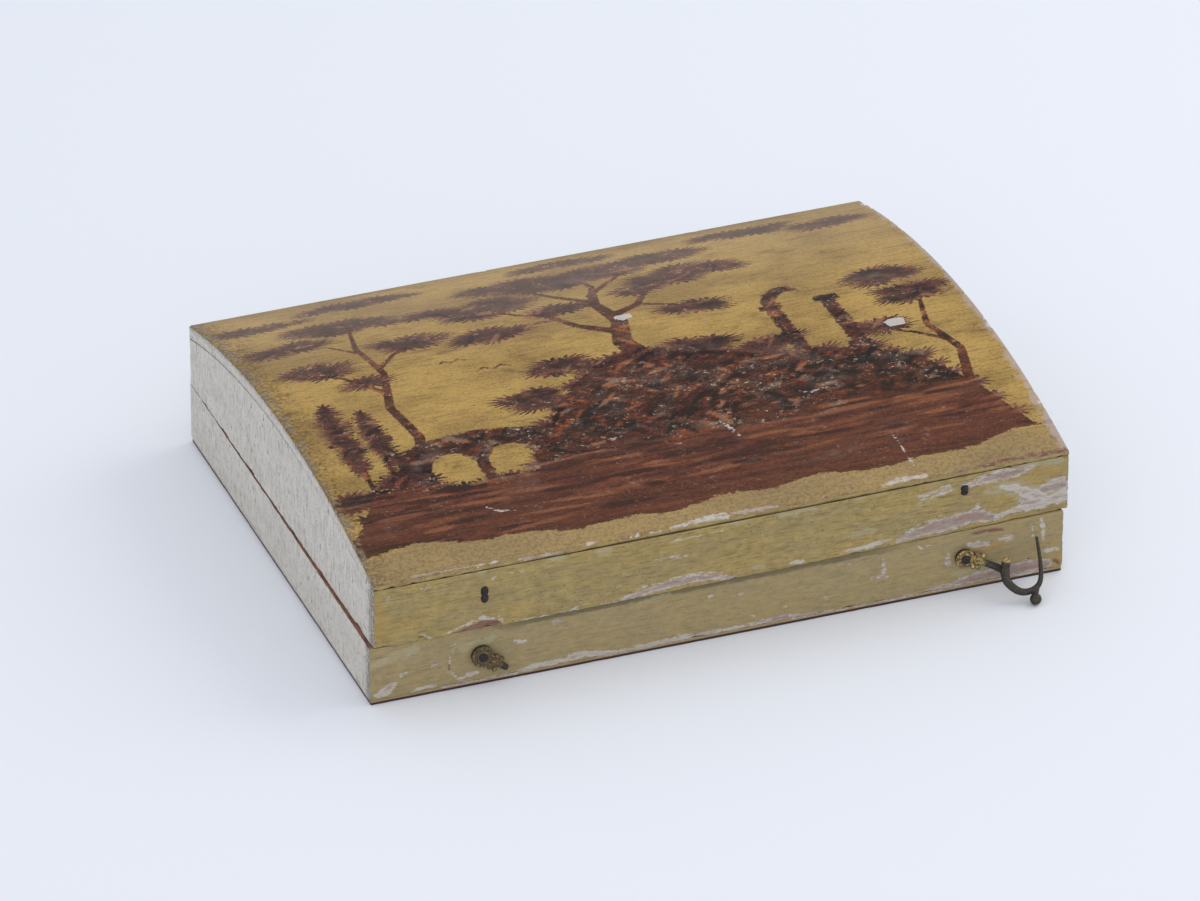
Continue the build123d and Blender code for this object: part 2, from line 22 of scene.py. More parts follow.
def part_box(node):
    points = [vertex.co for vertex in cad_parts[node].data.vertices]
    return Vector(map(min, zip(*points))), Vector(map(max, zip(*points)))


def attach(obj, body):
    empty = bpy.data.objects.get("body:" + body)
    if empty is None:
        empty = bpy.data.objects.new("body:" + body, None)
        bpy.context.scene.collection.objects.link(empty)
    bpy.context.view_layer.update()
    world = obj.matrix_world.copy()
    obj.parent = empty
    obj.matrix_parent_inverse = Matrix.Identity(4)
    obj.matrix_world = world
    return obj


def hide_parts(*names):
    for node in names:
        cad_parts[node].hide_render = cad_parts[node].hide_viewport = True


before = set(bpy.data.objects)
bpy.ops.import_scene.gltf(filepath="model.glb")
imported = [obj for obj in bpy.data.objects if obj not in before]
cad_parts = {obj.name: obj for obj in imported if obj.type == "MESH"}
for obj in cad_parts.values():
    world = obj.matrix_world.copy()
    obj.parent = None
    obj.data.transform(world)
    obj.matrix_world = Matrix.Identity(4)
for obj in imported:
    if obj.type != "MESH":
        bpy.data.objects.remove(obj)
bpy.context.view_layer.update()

MM = 0.001
LOG = logging.getLogger("ditty_box")
IRON_PARTS = ("pin", "eye", "nails")

# Sockets of a Mix node that mixes colours.
MIX_SHARE, MIX_BELOW, MIX_ABOVE, MIX_RESULT = 0, 6, 7, 2

# A face with more than this along Z counts as level, and one so near the outside counts as outer.
LEVEL_NORMAL = 0.8
OUTER_SKIN = 1.5
ALMOST_ONE = 0.999

Point = tuple[float, float, float]
Colour = tuple[float, float, float, float]


# ------------------------------------------------------------------ small tools
def tint(red: float, green: float, blue: float) -> Colour:
    """Turn a display colour into the linear colour that shaders use.

    Args:
        red: Red from 0 to 255.
        green: Green from 0 to 255.
        blue: Blue from 0 to 255.

    Returns:
        The linear colour with an alpha of 1.
    """
    linear = []
    for part in (red / 255, green / 255, blue / 255):
        linear.append(part / 12.92 if part <= 0.04045 else ((part + 0.055) / 1.055) ** 2.4)
    return (linear[0], linear[1], linear[2], 1.0)


def smooth_step(low: float, high: float, value: np.ndarray) -> np.ndarray:
    """Ease values from 0 at low to 1 at high.

    Args:
        low: Where the result is 0.
        high: Where the result is 1.
        value: The values.

    Returns:
        The eased values.
    """
    share = np.clip((value - low) / (high - low), 0.0, 1.0)
    return share * share * (3.0 - 2.0 * share)


# ---------------------------------------------------------------- shader tools
class Signal:
    """One output socket, on which Python's operators add Math nodes."""

    def __init__(self, paint: "Paint", socket: bpy.types.NodeSocket) -> None:
        """Keep the material and the socket."""
        self.paint = paint
        self.socket = socket

    def _math(
        self, operation: str, *others: "Signal | float", first: "Signal | float | None" = None
    ) -> "Signal":
        """Add one Math node.

        Args:
            operation: Its operation.
            others: Its inputs after the first.
            first: Its first input, where that isn't this signal.

        Returns:
            The node's output.
        """
        values = {0: self if first is None else first}
        values.update({index + 1: other for index, other in enumerate(others)})
        return self.paint.node("ShaderNodeMath", {"operation": operation}, values)

    def __add__(self, other: "Signal | float") -> "Signal":
        """Add."""
        return self._math("ADD", other)

    __radd__ = __add__

    def __sub__(self, other: "Signal | float") -> "Signal":
        """Subtract."""
        return self._math("SUBTRACT", other)

    def __rsub__(self, other: float) -> "Signal":
        """Subtract this signal from a number."""
        return self._math("SUBTRACT", self, first=other)

    def __mul__(self, other: "Signal | float") -> "Signal":
        """Multiply."""
        return self._math("MULTIPLY", other)

    def __pow__(self, other: float) -> "Signal":
        """Raise to a power."""
        return self._math("POWER", other)

    def __abs__(self) -> "Signal":
        """Drop the sign."""
        return self._math("ABSOLUTE")

    def most(self, other: "Signal | float") -> "Signal":
        """Take the larger of two."""
        return self._math("MAXIMUM", other)

    def step(self, low: float, high: float) -> "Signal":
        """Ease from 0 at low to 1 at high, or the other way round where low is larger.

        Args:
            low: Where the result is 0.
            high: Where the result is 1.

        Returns:
            The eased signal.
        """
        return self.paint.node(
            "ShaderNodeMapRange",
            {"interpolation_type": "SMOOTHSTEP"},
            {"Value": self, "From Min": low, "From Max": high, "To Min": 0.0, "To Max": 1.0},
        )


Value = Signal | float | Sequence[float]


class Paint:
    """One material under construction."""

    def __init__(self, name: str) -> None:
        """Make an empty node material of that name."""
        self.material = bpy.data.materials.new(name)
        self.material.use_nodes = True
        self.tree = self.material.node_tree
        self.tree.nodes.clear()

    def node(
        self,
        kind: str,
        settings: dict[str, object],
        inputs: dict[str | int, Value],
        output: str | int = 0,
    ) -> Signal:
        """Add one node.

        Args:
            kind: Its type.
            settings: Its own settings, set first.
            inputs: Values or links of its sockets.
            output: The output wanted.

        Returns:
            That output.
        """
        node = self.tree.nodes.new(kind)
        for key, setting in settings.items():
            setattr(node, key, setting)
        for key, value in inputs.items():
            if isinstance(value, Signal):
                self.tree.links.new(value.socket, node.inputs[key])
            else:
                node.inputs[key].default_value = value
        return Signal(self, node.outputs[output])

    def place(
        self, scale: Point = (1.0, 1.0, 1.0), turn: float = 0.0, shift: Point = (0.0, 0.0, 0.0)
    ) -> Signal:
        """Object coordinates in millimetres, scaled, turned about Z and shifted.

        Args:
            scale: Scale along X, Y and Z.
            turn: Turn about Z in radians.
            shift: Shift in millimetres after the turn.

        Returns:
            The coordinates.
        """
        raw = self.node("ShaderNodeTexCoord", {}, {}, "Object")
        return self.node(
            "ShaderNodeMapping",
            {"vector_type": "POINT"},
            {
                "Vector": raw,
                "Location": shift,
                "Rotation": (0.0, 0.0, turn),
                "Scale": tuple(part / MM for part in scale),
            },
        )

    def axes(self, vector: Signal) -> tuple[Signal, Signal, Signal]:
        """Split a vector.

        Args:
            vector: The vector.

        Returns:
            Its X, Y and Z.
        """
        split = self.node("ShaderNodeSeparateXYZ", {}, {"Vector": vector}, 0)
        outputs = split.socket.node.outputs
        return Signal(self, outputs[0]), Signal(self, outputs[1]), Signal(self, outputs[2])

    def grain(
        self,
        size: Point,
        detail: float = 3.0,
        rough: float = 0.55,
        twist: float = 0.0,
        seed: float = 0.0,
        turn: float = 0.0,
    ) -> Signal:
        """Cloudy noise about 0.5, stretched to a grain.

        Args:
            size: Size of its features along X, Y and Z in millimetres.
            detail: Octaves.
            rough: How strong the small octaves are.
            twist: Distortion.
            seed: Shift that makes it different from other grains.
            turn: Turn of the grain about Z in radians.

        Returns:
            The noise from 0 to 1.
        """
        where = self.place(tuple(1.0 / part for part in size), turn, (seed, seed * 1.7, seed * 0.6))
        return self.node(
            "ShaderNodeTexNoise",
            {},
            {"Vector": where, "Scale": 1.0, "Detail": detail, "Roughness": rough, "Distortion": twist},
        )

    def cells(self, size: Point, seed: float) -> Signal:
        """Distance to the nearest edge in a net of random cells.

        Args:
            size: Size of the cells along X, Y and Z in millimetres.
            seed: Shift that makes it different from other nets.

        Returns:
            The distance.
        """
        where = self.place(tuple(1.0 / part for part in size), shift=(seed, seed * 1.3, seed * 0.7))
        return self.node(
            "ShaderNodeTexVoronoi",
            {"feature": "DISTANCE_TO_EDGE"},
            {"Vector": where, "Scale": 1.0, "Randomness": 1.0},
        )

    def mark(self, name: str) -> Signal:
        """A number stored on the mesh under that name."""
        return self.node("ShaderNodeAttribute", {"attribute_name": name}, {}, "Fac")

    def blend(self, share: Signal | float, below: Value, above: Value) -> Signal:
        """Mix two colours.

        Args:
            share: How much of the upper colour.
            below: The lower colour.
            above: The upper colour.

        Returns:
            The colour.
        """
        return self.node(
            "ShaderNodeMix",
            {"data_type": "RGBA", "blend_type": "MIX", "clamp_factor": True},
            {MIX_SHARE: share, MIX_BELOW: below, MIX_ABOVE: above},
            MIX_RESULT,
        )

    def ramp(self, share: Signal, stops: Sequence[tuple[float, Colour]]) -> Signal:
        """Run a signal through a row of colours.

        Args:
            share: The signal.
            stops: Place and colour of each stop.

        Returns:
            The colour.
        """
        colour = self.node("ShaderNodeValToRGB", {}, {"Fac": share}, "Color")
        elements = colour.socket.node.color_ramp.elements
        while len(elements) < len(stops):
            elements.new(0.5)
        for element, (place, shade) in zip(elements, stops):
            element.position = place
            element.color = shade
        return colour

    def bump(self, height: Signal, depth: float) -> Signal:
        """Turn a height into a normal.

        Args:
            height: Height from 0 to 1.
            depth: How deep that is in millimetres.

        Returns:
            The normal.
        """
        return self.node(
            "ShaderNodeBump", {}, {"Height": height, "Strength": 1.0, "Distance": depth * MM}, "Normal"
        )

    def finish(self, inputs: dict[str, Value]) -> bpy.types.Material:
        """Close the material with its shader.

        Args:
            inputs: Values or links of the Principled shader's sockets.

        Returns:
            The material.
        """
        shader = self.node("ShaderNodeBsdfPrincipled", {}, inputs, "BSDF")
        output = self.tree.nodes.new("ShaderNodeOutputMaterial")
        self.tree.links.new(shader.socket, output.inputs["Surface"])
        return self.material


# ------------------------------------------------------------ shape of the box
@dataclass(frozen=True)
class BoxShape:
    """Sizes that the pieces share: lengths in millimetres, angles in radians."""

    half_length: float = 160.0
    half_depth: float = 120.0
    half_lid: float = 160.385
    wall: float = 9.0
    bottom: float = 2.5
    bottom_inset: float = 0.3
    seam_middle: float = 30.2
    seam_slope_x: float = 2.1 / 320.0
    seam_slope_y: float = 1.7 / 240.0
    half_seam_gap: float = 0.15
    ledge: float = 2.0
    shoulder: float = 60.0
    crown: float = 77.0
    top_thickness: float = 6.5
    lip_thickness: float = 2.7
    front_bow: float = 1.8
    crown_bow: float = 0.1
    bow_fade: float = 0.6
    lid_shift: float = 1.1
    lid_skew: float = math.radians(0.42)

    def seam(self, x: np.ndarray, y: np.ndarray) -> np.ndarray:
        """Height of the middle of the saw cut."""
        return self.seam_middle + self.seam_slope_x * x + self.seam_slope_y * y

    def dome_radius(self) -> float:
        """Radius of the dome's outer surface."""
        rise = self.crown - self.shoulder
        return (self.half_depth**2 + rise**2) / (2 * rise)

    def dome(self, y: np.ndarray, depth: float = 0.0) -> np.ndarray:
        """Height of the dome.

        Args:
            y: Places across the lid.
            depth: How far under its outer surface.

        Returns:
            The heights.
        """
        radius = self.dome_radius()
        return self.crown - radius + np.sqrt((radius - depth) ** 2 - np.asarray(y) ** 2)

    def from_lid(self, points: np.ndarray) -> np.ndarray:
        """Turn points of the lid's own frame into points of the box.

        Args:
            points: One point in each row.

        Returns:
            The same points in the box's frame.
        """
        cosine, sine = math.cos(self.lid_skew), math.sin(self.lid_skew)
        turned = points.copy()
        turned[:, 0] = points[:, 0] * cosine - points[:, 1] * sine + self.lid_shift
        turned[:, 1] = points[:, 0] * sine + points[:, 1] * cosine
        return turned


SHAPE = BoxShape()


# ------------------------------------------------------------------ mesh tools
def clouds(points: np.ndarray, size: float, seed: float) -> np.ndarray:
    """Smooth random values about 0 at points.

    Args:
        points: One point in each row.
        size: Size of the features.
        seed: Shift that makes one set unlike another.

    Returns:
        One value for each point, from about -1 to 1.
    """
    shift = Vector((seed, seed * 0.37, -seed))
    return np.array([noise.noise(Vector(point) / size + shift) for point in points.tolist()])


def block(low: Point, high: Point, cells: tuple[int, int, int], wear: float) -> bmesh.types.BMesh:
    """A closed block with rounded edges, cut into cells.

    Args:
        low: Its lowest corner.
        high: Its highest corner.
        cells: Cells along X, Y and Z.
        wear: Radius of its edges.

    Returns:
        The block.
    """
    mesh = bmesh.new()
    bmesh.ops.create_cube(mesh, size=1.0)
    size = Vector(high) - Vector(low)
    bmesh.ops.scale(mesh, vec=size, verts=mesh.verts)
    bmesh.ops.translate(mesh, vec=(Vector(high) + Vector(low)) / 2, verts=mesh.verts)
    bmesh.ops.bevel(
        mesh,
        geom=mesh.edges[:],
        offset=wear,
        segments=3,
        profile=0.5,
        affect="EDGES",
        material=-1,
        clamp_overlap=True,
    )
    for axis, count in enumerate(cells):
        long_edges = []
        for edge in mesh.edges:
            run = edge.verts[1].co - edge.verts[0].co
            if abs(run[axis]) > size[axis] * 0.5 and abs(run[axis]) > run.length * ALMOST_ONE:
                long_edges.append(edge)
        if count > 1:
            bmesh.ops.subdivide_edges(mesh, edges=long_edges, cuts=count - 1, use_grid_fill=True)
    return mesh


def corners_of(mesh: bmesh.types.BMesh) -> np.ndarray:
    """All vertices of a mesh, one in each row."""
    return np.array([tuple(vertex.co) for vertex in mesh.verts])


def edge_nearness(points: np.ndarray, low: Point, high: Point) -> np.ndarray:
    """Distance from each point to the nearest edge of a box that it lies on.

    Args:
        points: Points on the box.
        low: Its lowest corner.
        high: Its highest corner.

    Returns:
        The distances.
    """
    gaps = np.minimum(points - np.array(low), np.array(high) - points)
    return np.sort(gaps, axis=1)[:, 1]


@dataclass
class Piece:
    """One finished mesh on its way into the scene."""

    name: str
    body: str
    slot: str
    replaced: tuple[str, ...]

    def put(
        self,
        mesh: bmesh.types.BMesh,
        points: np.ndarray | None,
        materials: Sequence[bpy.types.Material],
        marks: dict[str, np.ndarray] | None = None,
    ) -> bpy.types.Object:
        """Write the mesh, dress it and tie it to its body.

        Args:
            mesh: The mesh in millimetres.
            points: New places of its vertices, or None to keep them.
            materials: Its materials, in the order of its face indices.
            marks: Numbers to store on its vertices.

        Returns:
            The object.
        """
        if points is not None:
            for vertex, point in zip(mesh.verts, points.tolist()):
                vertex.co = point
        bmesh.ops.scale(mesh, vec=(MM, MM, MM), verts=mesh.verts)
        data = bpy.data.meshes.new(self.name)
        mesh.to_mesh(data)
        mesh.free()
        data.polygons.foreach_set("use_smooth", [True] * len(data.polygons))
        for key, values in (marks or {}).items():
            data.attributes.new(key, "FLOAT", "POINT").data.foreach_set("value", values.astype(np.float32))
        for material in materials:
            data.materials.append(material)
        piece = bpy.data.objects.new(self.name, data)
        bpy.context.scene.collection.objects.link(piece)
        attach(piece, self.body)
        if self.replaced:
            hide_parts(*self.replaced)
        LOG.info("%s: %d faces", self.name, len(data.polygons))
        return piece


# ------------------------------------------------------------------- the boards
class Side(Enum):
    """The finish of one side of a board, in the order of its materials."""

    FRONT = 0
    END = 1
    BACK = 2
    INSIDE = 3
    RIM = 4
    JOINT = 5


class Loss(Enum):
    """What shows where the paint has come off, with how deep it goes in millimetres."""

    SCUFF = ("scuff", 0.0)
    AMBER = ("amber", 0.0)
    LILAC = ("lilac", 0.22)
    GESSO = ("gesso", 0.14)
    WOOD = ("wood", 0.8)
    DARK = ("dark", 1.3)

    def __init__(self, mark: str, depth: float) -> None:
        """Keep the name of its mark and its depth."""
        self.mark = mark
        self.depth = depth


FAR = 20.0


@dataclass(frozen=True)
class Stroke:
    """A band through a few points of a surface, each with its half width."""

    points: tuple[Point, ...]

    def gap(self, across: np.ndarray, up: np.ndarray) -> np.ndarray:
        """Distance to the band's outline.

        Args:
            across: First coordinate of each place.
            up: Second coordinate of each place.

        Returns:
            Distances, negative inside.
        """
        best = np.full(len(across), FAR)
        for (ax, ay, aw), (bx, by, bw) in zip(self.points, self.points[1:]):
            run = (bx - ax) ** 2 + (by - ay) ** 2
            share = np.clip(((across - ax) * (bx - ax) + (up - ay) * (by - ay)) / run, 0.0, 1.0)
            away = np.hypot(across - ax - share * (bx - ax), up - ay - share * (by - ay))
            best = np.minimum(best, away - aw - share * (bw - aw))
        return best


Patch = tuple[Loss, Stroke]


def patches(kind: Loss, *bands: tuple[Point, ...]) -> tuple[Patch, ...]:
    """Losses of one kind on the front, each a band of (x, z, half width)."""
    return tuple((kind, Stroke(band)) for band in bands)


def loss_marks(
    losses: Sequence[Patch], x: np.ndarray, z: np.ndarray, on_front: np.ndarray
) -> dict[str, np.ndarray]:
    """Distances to the losses of each kind.

    Args:
        losses: The losses.
        x: Places along the front.
        z: Places up the front.
        on_front: Which places belong to the front.

    Returns:
        One set of distances for each kind, by the name of its mark.
    """
    marks = {kind.mark: np.full(len(x), FAR) for kind in Loss}
    for kind, stroke in losses:
        gap = np.where(on_front, stroke.gap(x, z), FAR)
        marks[kind.mark] = np.minimum(marks[kind.mark], gap)
    return marks


LID_LOSSES = (
    *patches(
        Loss.SCUFF,
        ((14.5, 32.6, 1), (19, 33, 1.2)), ((60.7, 39.2, 1.2), (70, 39.6, 1.7)),
        ((127, 57.6, 1.2), (140, 58.2, 1)), ((27, 56.4, 1.1), (36, 56.2, 1.7), (44, 55.6, 0.8)),
        ((-1.7, 57.6, 0.6), (11, 56.4, 0.8)), ((-55.5, 55.2, 1.5), (-51, 55.4, 1.1)),
        ((124, 47, 1.6), (134, 47.4, 3.4), (143, 42.8, 4.4), (153, 38.8, 4.6), (160, 39.4, 4.2)),
        ((140, 56.6, 1.4), (158, 55.4, 2)), ((64, 57.4, 0.8), (74, 57.8, 0.6)),
        ((-118, 57.4, 0.7), (-108, 57.2, 0.9)), ((-80, 56.8, 0.8), (-72, 56.4, 1)),
        ((92, 48, 0.8), (97, 47.4, 0.8)),
    ),
    *patches(
        Loss.AMBER,
        ((-156, 52, 1.6), (-155.6, 37, 2.2)), ((146, 52, 1.4), (158, 51, 1.4)),
    ),
    *patches(
        Loss.LILAC,
        ((-55.5, 29.2, 0.2), (-46, 30.2, 0.9), (-36, 31.4, 1.5), (-25, 33, 1.9), (-14, 33.4, 2.1),
         (-4, 32.4, 1.5), (4, 30.6, 0.9), (8, 29.6, 0.2)),
        ((-31, 46.4, 0.3), (-23, 46, 0.5), (-15.7, 45.2, 0.3)),
        ((82, 31.8, 0.6), (90, 33.6, 2.2), (100, 35.2, 3.2), (110, 35.6, 3.4), (118, 36.2, 3),
         (124, 34.8, 2.6), (130, 33.2, 1.4)),
        ((140, 36.8, 1.4), (149, 37.6, 2)), ((89, 50.8, 0.3), (98, 52.4, 0.9), (106, 53.4, 0.8)),
        ((112, 51.8, 0.6), (120, 53, 1.6), (130, 54.2, 2.6), (138, 53.6, 2.2), (146, 55.4, 0.8)),
        ((140, 40, 1.2), (150, 42, 2.4), (160, 43, 2.6)),
    ),
    *patches(
        Loss.GESSO,
        ((-125, 29.8, 0.3), (-117, 32.4, 0.5), (-110, 34, 0.8), (-102, 32.8, 0.8),
         (-100.2, 30.4, 0.5)),
        ((-141.2, 28.8, 0.3), (-136.8, 31.6, 0.4), (-133, 28.9, 0.3)),
        ((-94, 29.3, 0.3), (-87, 29.7, 0.6), (-79.4, 29.2, 0.4)),
        ((-75.3, 29.4, 0.3), (-66.5, 29.8, 0.6)),
        ((-40, 33.2, 0.1), (-26, 35.2, 0.4), (-13, 35.6, 0.5), (0, 33.8, 0.2)),
        ((32, 31.2, 0.4), (38, 31.4, 0.8)),
        ((54, 31.4, 0.3), (64, 32, 0.9), (70, 32.5, 1.1), (78.5, 33.2, 0.6)),
        ((116, 38.8, 0.7), (120.5, 41.2, 0.9)), ((84, 34.2, 0.1), (92, 37.4, 0.4), (102, 39.2, 0.3)),
        ((128, 33.8, 0.8), (138, 35.4, 1.6), (146, 34.4, 1.4), (154, 36.4, 2.6), (160, 37.4, 3.6)),
        ((92, 49.8, 0.2), (103, 50.6, 0.7), (108, 51.6, 0.5)),
        ((112, 52.8, 0.4), (124, 55.6, 0.7), (133, 56, 0.5)),
        ((150, 44.6, 0.5), (156, 45.6, 1.1), (160, 46, 1.3)),
        ((130, 48.2, 0.6), (136, 46.8, 1.9), (143, 42.6, 2.4), (151, 38.6, 1.8)),
        ((-100, 58.4, 0.15), (-84, 58.6, 0.3), (-66, 58.5, 0.2)),
        ((40, 58.7, 0.2), (52, 58.6, 0.35)),
        ((-6, 58.6, 0.3), (10, 58.7, 0.45), (20, 58.6, 0.2)), ((84, 58.6, 0.3), (96, 58.4, 0.5)),
        ((-28.6, 53.6, 0.1), (-14, 53.8, 0.2), (0.6, 54.1, 0.1)),
        ((-104.4, 52.8, 0.8), (-102.8, 53, 0.7)), ((-96.3, 53.6, 0.5), (-95.7, 53.6, 0.5)),
        ((-91.9, 53.4, 0.4), (-91.1, 53.5, 0.4)), ((-136.2, 53.9, 0.6), (-133.4, 54.2, 0.4)),
        ((-152.4, 52.8, 0.6), (-151.4, 52.9, 0.5)), ((-47.6, 36.4, 0.6), (-46.8, 36.6, 0.6)),
        ((-65.1, 32.6, 0.5), (-64.3, 32.7, 0.5)), ((40, 51, 0.3), (43, 51.3, 0.3)),
    ),
    *patches(
        Loss.WOOD,
        ((-124, 28.4, 0.3), (-116, 29.4, 1.3), (-109, 30.6, 1.9), (-103, 30.2, 1.4),
         (-100.6, 29.4, 0.4)),
    ),
    *patches(
        Loss.DARK,
        ((-140.4, 39.3, 0.35), (-136.7, 39.7, 0.3)),
        ((-140.4, 28.2, 0.1), (-136.8, 30.5, 0.4), (-133.9, 28.2, 0.1)),
    ),
)
RIM_LOSSES = (
    *patches(
        Loss.LILAC,
        ((-92.6, 59.2, 0.5), (-74, 58.8, 0.5)), ((3, 61.2, 0.6), (14, 60.8, 0.9), (27, 60.4, 0.5)),
        ((104, 60.2, 0.3), (122, 60.2, 0.4)),
    ),
    *patches(
        Loss.GESSO,
        ((-143, 60.4, 0.1), (-120, 60.5, 0.2), (-99.5, 60.2, 0.3)),
        ((-34.5, 59.5, 0.4), (-27.5, 59.1, 0.4)),
        ((-27.5, 60, 0.5), (-12, 60.4, 0.8), (4, 60.4, 1)), ((-9.6, 61.2, 0.7), (3, 61.5, 0.8)),
        ((75, 60.4, 0.6), (85.7, 61.6, 1), (96, 61.2, 0.6)), ((36, 60, 0.2), (48, 60.1, 0.3)),
        ((-70, 60, 0.2), (-58, 60.1, 0.3)), ((55, 60.1, 0.2), (66, 60, 0.3)),
    ),
    *patches(
        Loss.WOOD,
        ((-45, 59.6, 0.5), (-33.3, 59.6, 0.5)),
        ((104, 59.8, 0.3), (124, 60.3, 0.7), (145, 60.7, 1), (161, 60.2, 1)),
        ((-160, 59.8, 0.4), (-140, 60, 0.3), (-112, 59.8, 0.4)),
        ((28, 59.6, 0.3), (60, 59.8, 0.4), (74, 59.7, 0.2)),
    ),
)
CASE_LOSSES = (
    *patches(
        Loss.SCUFF,
        ((-37.3, 25.2, 0.8), (-22.7, 27, 0.9)), ((-44.9, 24.7, 0.6), (-40.8, 24, 0.7)),
        ((-159, 20, 1.6), (-140, 24, 2.4)), ((-118, 20, 2), (-104, 22, 1.6)),
        ((110, 9, 1.4), (134, 10, 1.4)),
    ),
    *patches(
        Loss.AMBER,
        ((156, 15, 1.2), (157.6, 9, 2), (158.3, 4.4, 1.8)), ((118, 18.6, 0.8), (132, 19.6, 1.6)),
    ),
    *patches(
        Loss.LILAC,
        ((-77, 24.3, 0.5), (-71.8, 23.7, 0.5)), ((-131.8, 14.2, 0.8), (-130, 14.4, 0.6)),
        ((-146, 12.4, 0.8), (-142, 12.8, 0.6)), ((18, 3.6, 1), (30, 3.9, 1.5), (43.8, 2.6, 0.7)),
        ((44, 2.4, 0.5), (70, 2.3, 0.4), (95, 2.6, 0.6)),
        ((94.9, 2.8, 0.8), (103, 3.4, 1.2), (111, 3.6, 1.6)),
        ((111, 4.2, 1.8), (120, 5, 2.6), (130, 5, 2.8), (144, 5.4, 3.2), (152, 5, 2.8)),
        ((130, 22.4, 0.7), (136, 21.8, 1.1)), ((75.9, 23.5, 0.6), (76, 15.9, 0.8)),
        ((70.2, 15.4, 0.4), (77.2, 14.8, 0.6)), ((59.4, 24.4, 0.6), (60.4, 24.2, 0.5)),
        ((106.4, 20.5, 0.5), (105.4, 17, 0.9), (106.4, 13.2, 0.6)),
        ((-128, 2.2, 0.5), (-100, 2.4, 0.7), (-92, 2.4, 0.5)),
    ),
    *patches(
        Loss.GESSO,
        ((-94.2, 18.6, 0.7), (-89.9, 17.4, 0.7)), ((-5.2, 21.8, 0.6), (-3.8, 21.9, 0.5)),
        ((8.9, 20.1, 0.5), (10.1, 20.2, 0.4)),
        ((-120.6, 24.1, 0.1), (-123.9, 16.5, 0.25), (-124.2, 10.1, 0.25), (-120.7, 5.6, 0.3)),
        ((-157, 4.6, 1.2), (-153, 6.4, 2.2), (-148.5, 8.6, 1.2)),
        ((-141.6, 3.2, 0.5), (-135, 4.2, 0.9), (-130, 4.4, 0.5)),
        ((-119.6, 5.4, 0.7), (-115, 6.2, 1.1), (-111.4, 6.6, 0.7)),
        ((-95, 2.4, 0.4), (-90, 3.2, 1.1), (-83.5, 4.2, 1.3), (-76, 3.8, 1.1), (-68.3, 4.8, 1.5),
         (-62.5, 5, 1.7), (-55, 3.6, 1.3), (-43.7, 2.8, 0.9), (-34, 3.2, 1.1), (-25, 3.4, 1.2),
         (-19, 4, 1.2), (-10, 3.6, 1), (-3.8, 3.6, 1), (6, 3.4, 0.8), (18.4, 3.4, 0.7)),
        ((116.1, 22.2, 1.2), (120, 21.8, 1.6), (124.9, 21, 0.7)),
        ((49.2, 9.6, 0.7), (50.6, 9.8, 0.6)), ((23.8, 15.6, 0.35), (24.6, 15.7, 0.3)),
        ((29.5, 9.4, 0.35), (30.4, 9.5, 0.3)), ((14.5, 7.5, 0.35), (15.4, 7.6, 0.3)),
        ((92.1, 26.6, 0.4), (94, 24.6, 0.4)), ((95.5, 26, 0.3), (98, 25.9, 0.3)),
        ((144.6, 27.5, 0.3), (145.4, 24, 0.25), (146, 18.8, 0.15)),
        ((149.9, 29, 0.7), (150.4, 24, 0.8), (150.7, 17.8, 0.5)),
        ((150.8, 11.8, 0.6), (154, 12, 1), (157.9, 11.8, 0.7)), ((136, 2.6, 0.5), (150, 2.8, 0.9)),
    ),
    *patches(
        Loss.WOOD,
        ((117.7, 27.4, 0.7), (124, 27.4, 0.9), (131.7, 26.8, 0.6)), ((156.2, 6.2, 0.7), (158.4, 4, 0.9)),
        ((-124.2, 12.6, 0.5), (-124, 10.2, 0.6)),
    ),
    *patches(Loss.DARK, ((143.6, 9, 0.35), (146.2, 9.3, 0.15))),
)


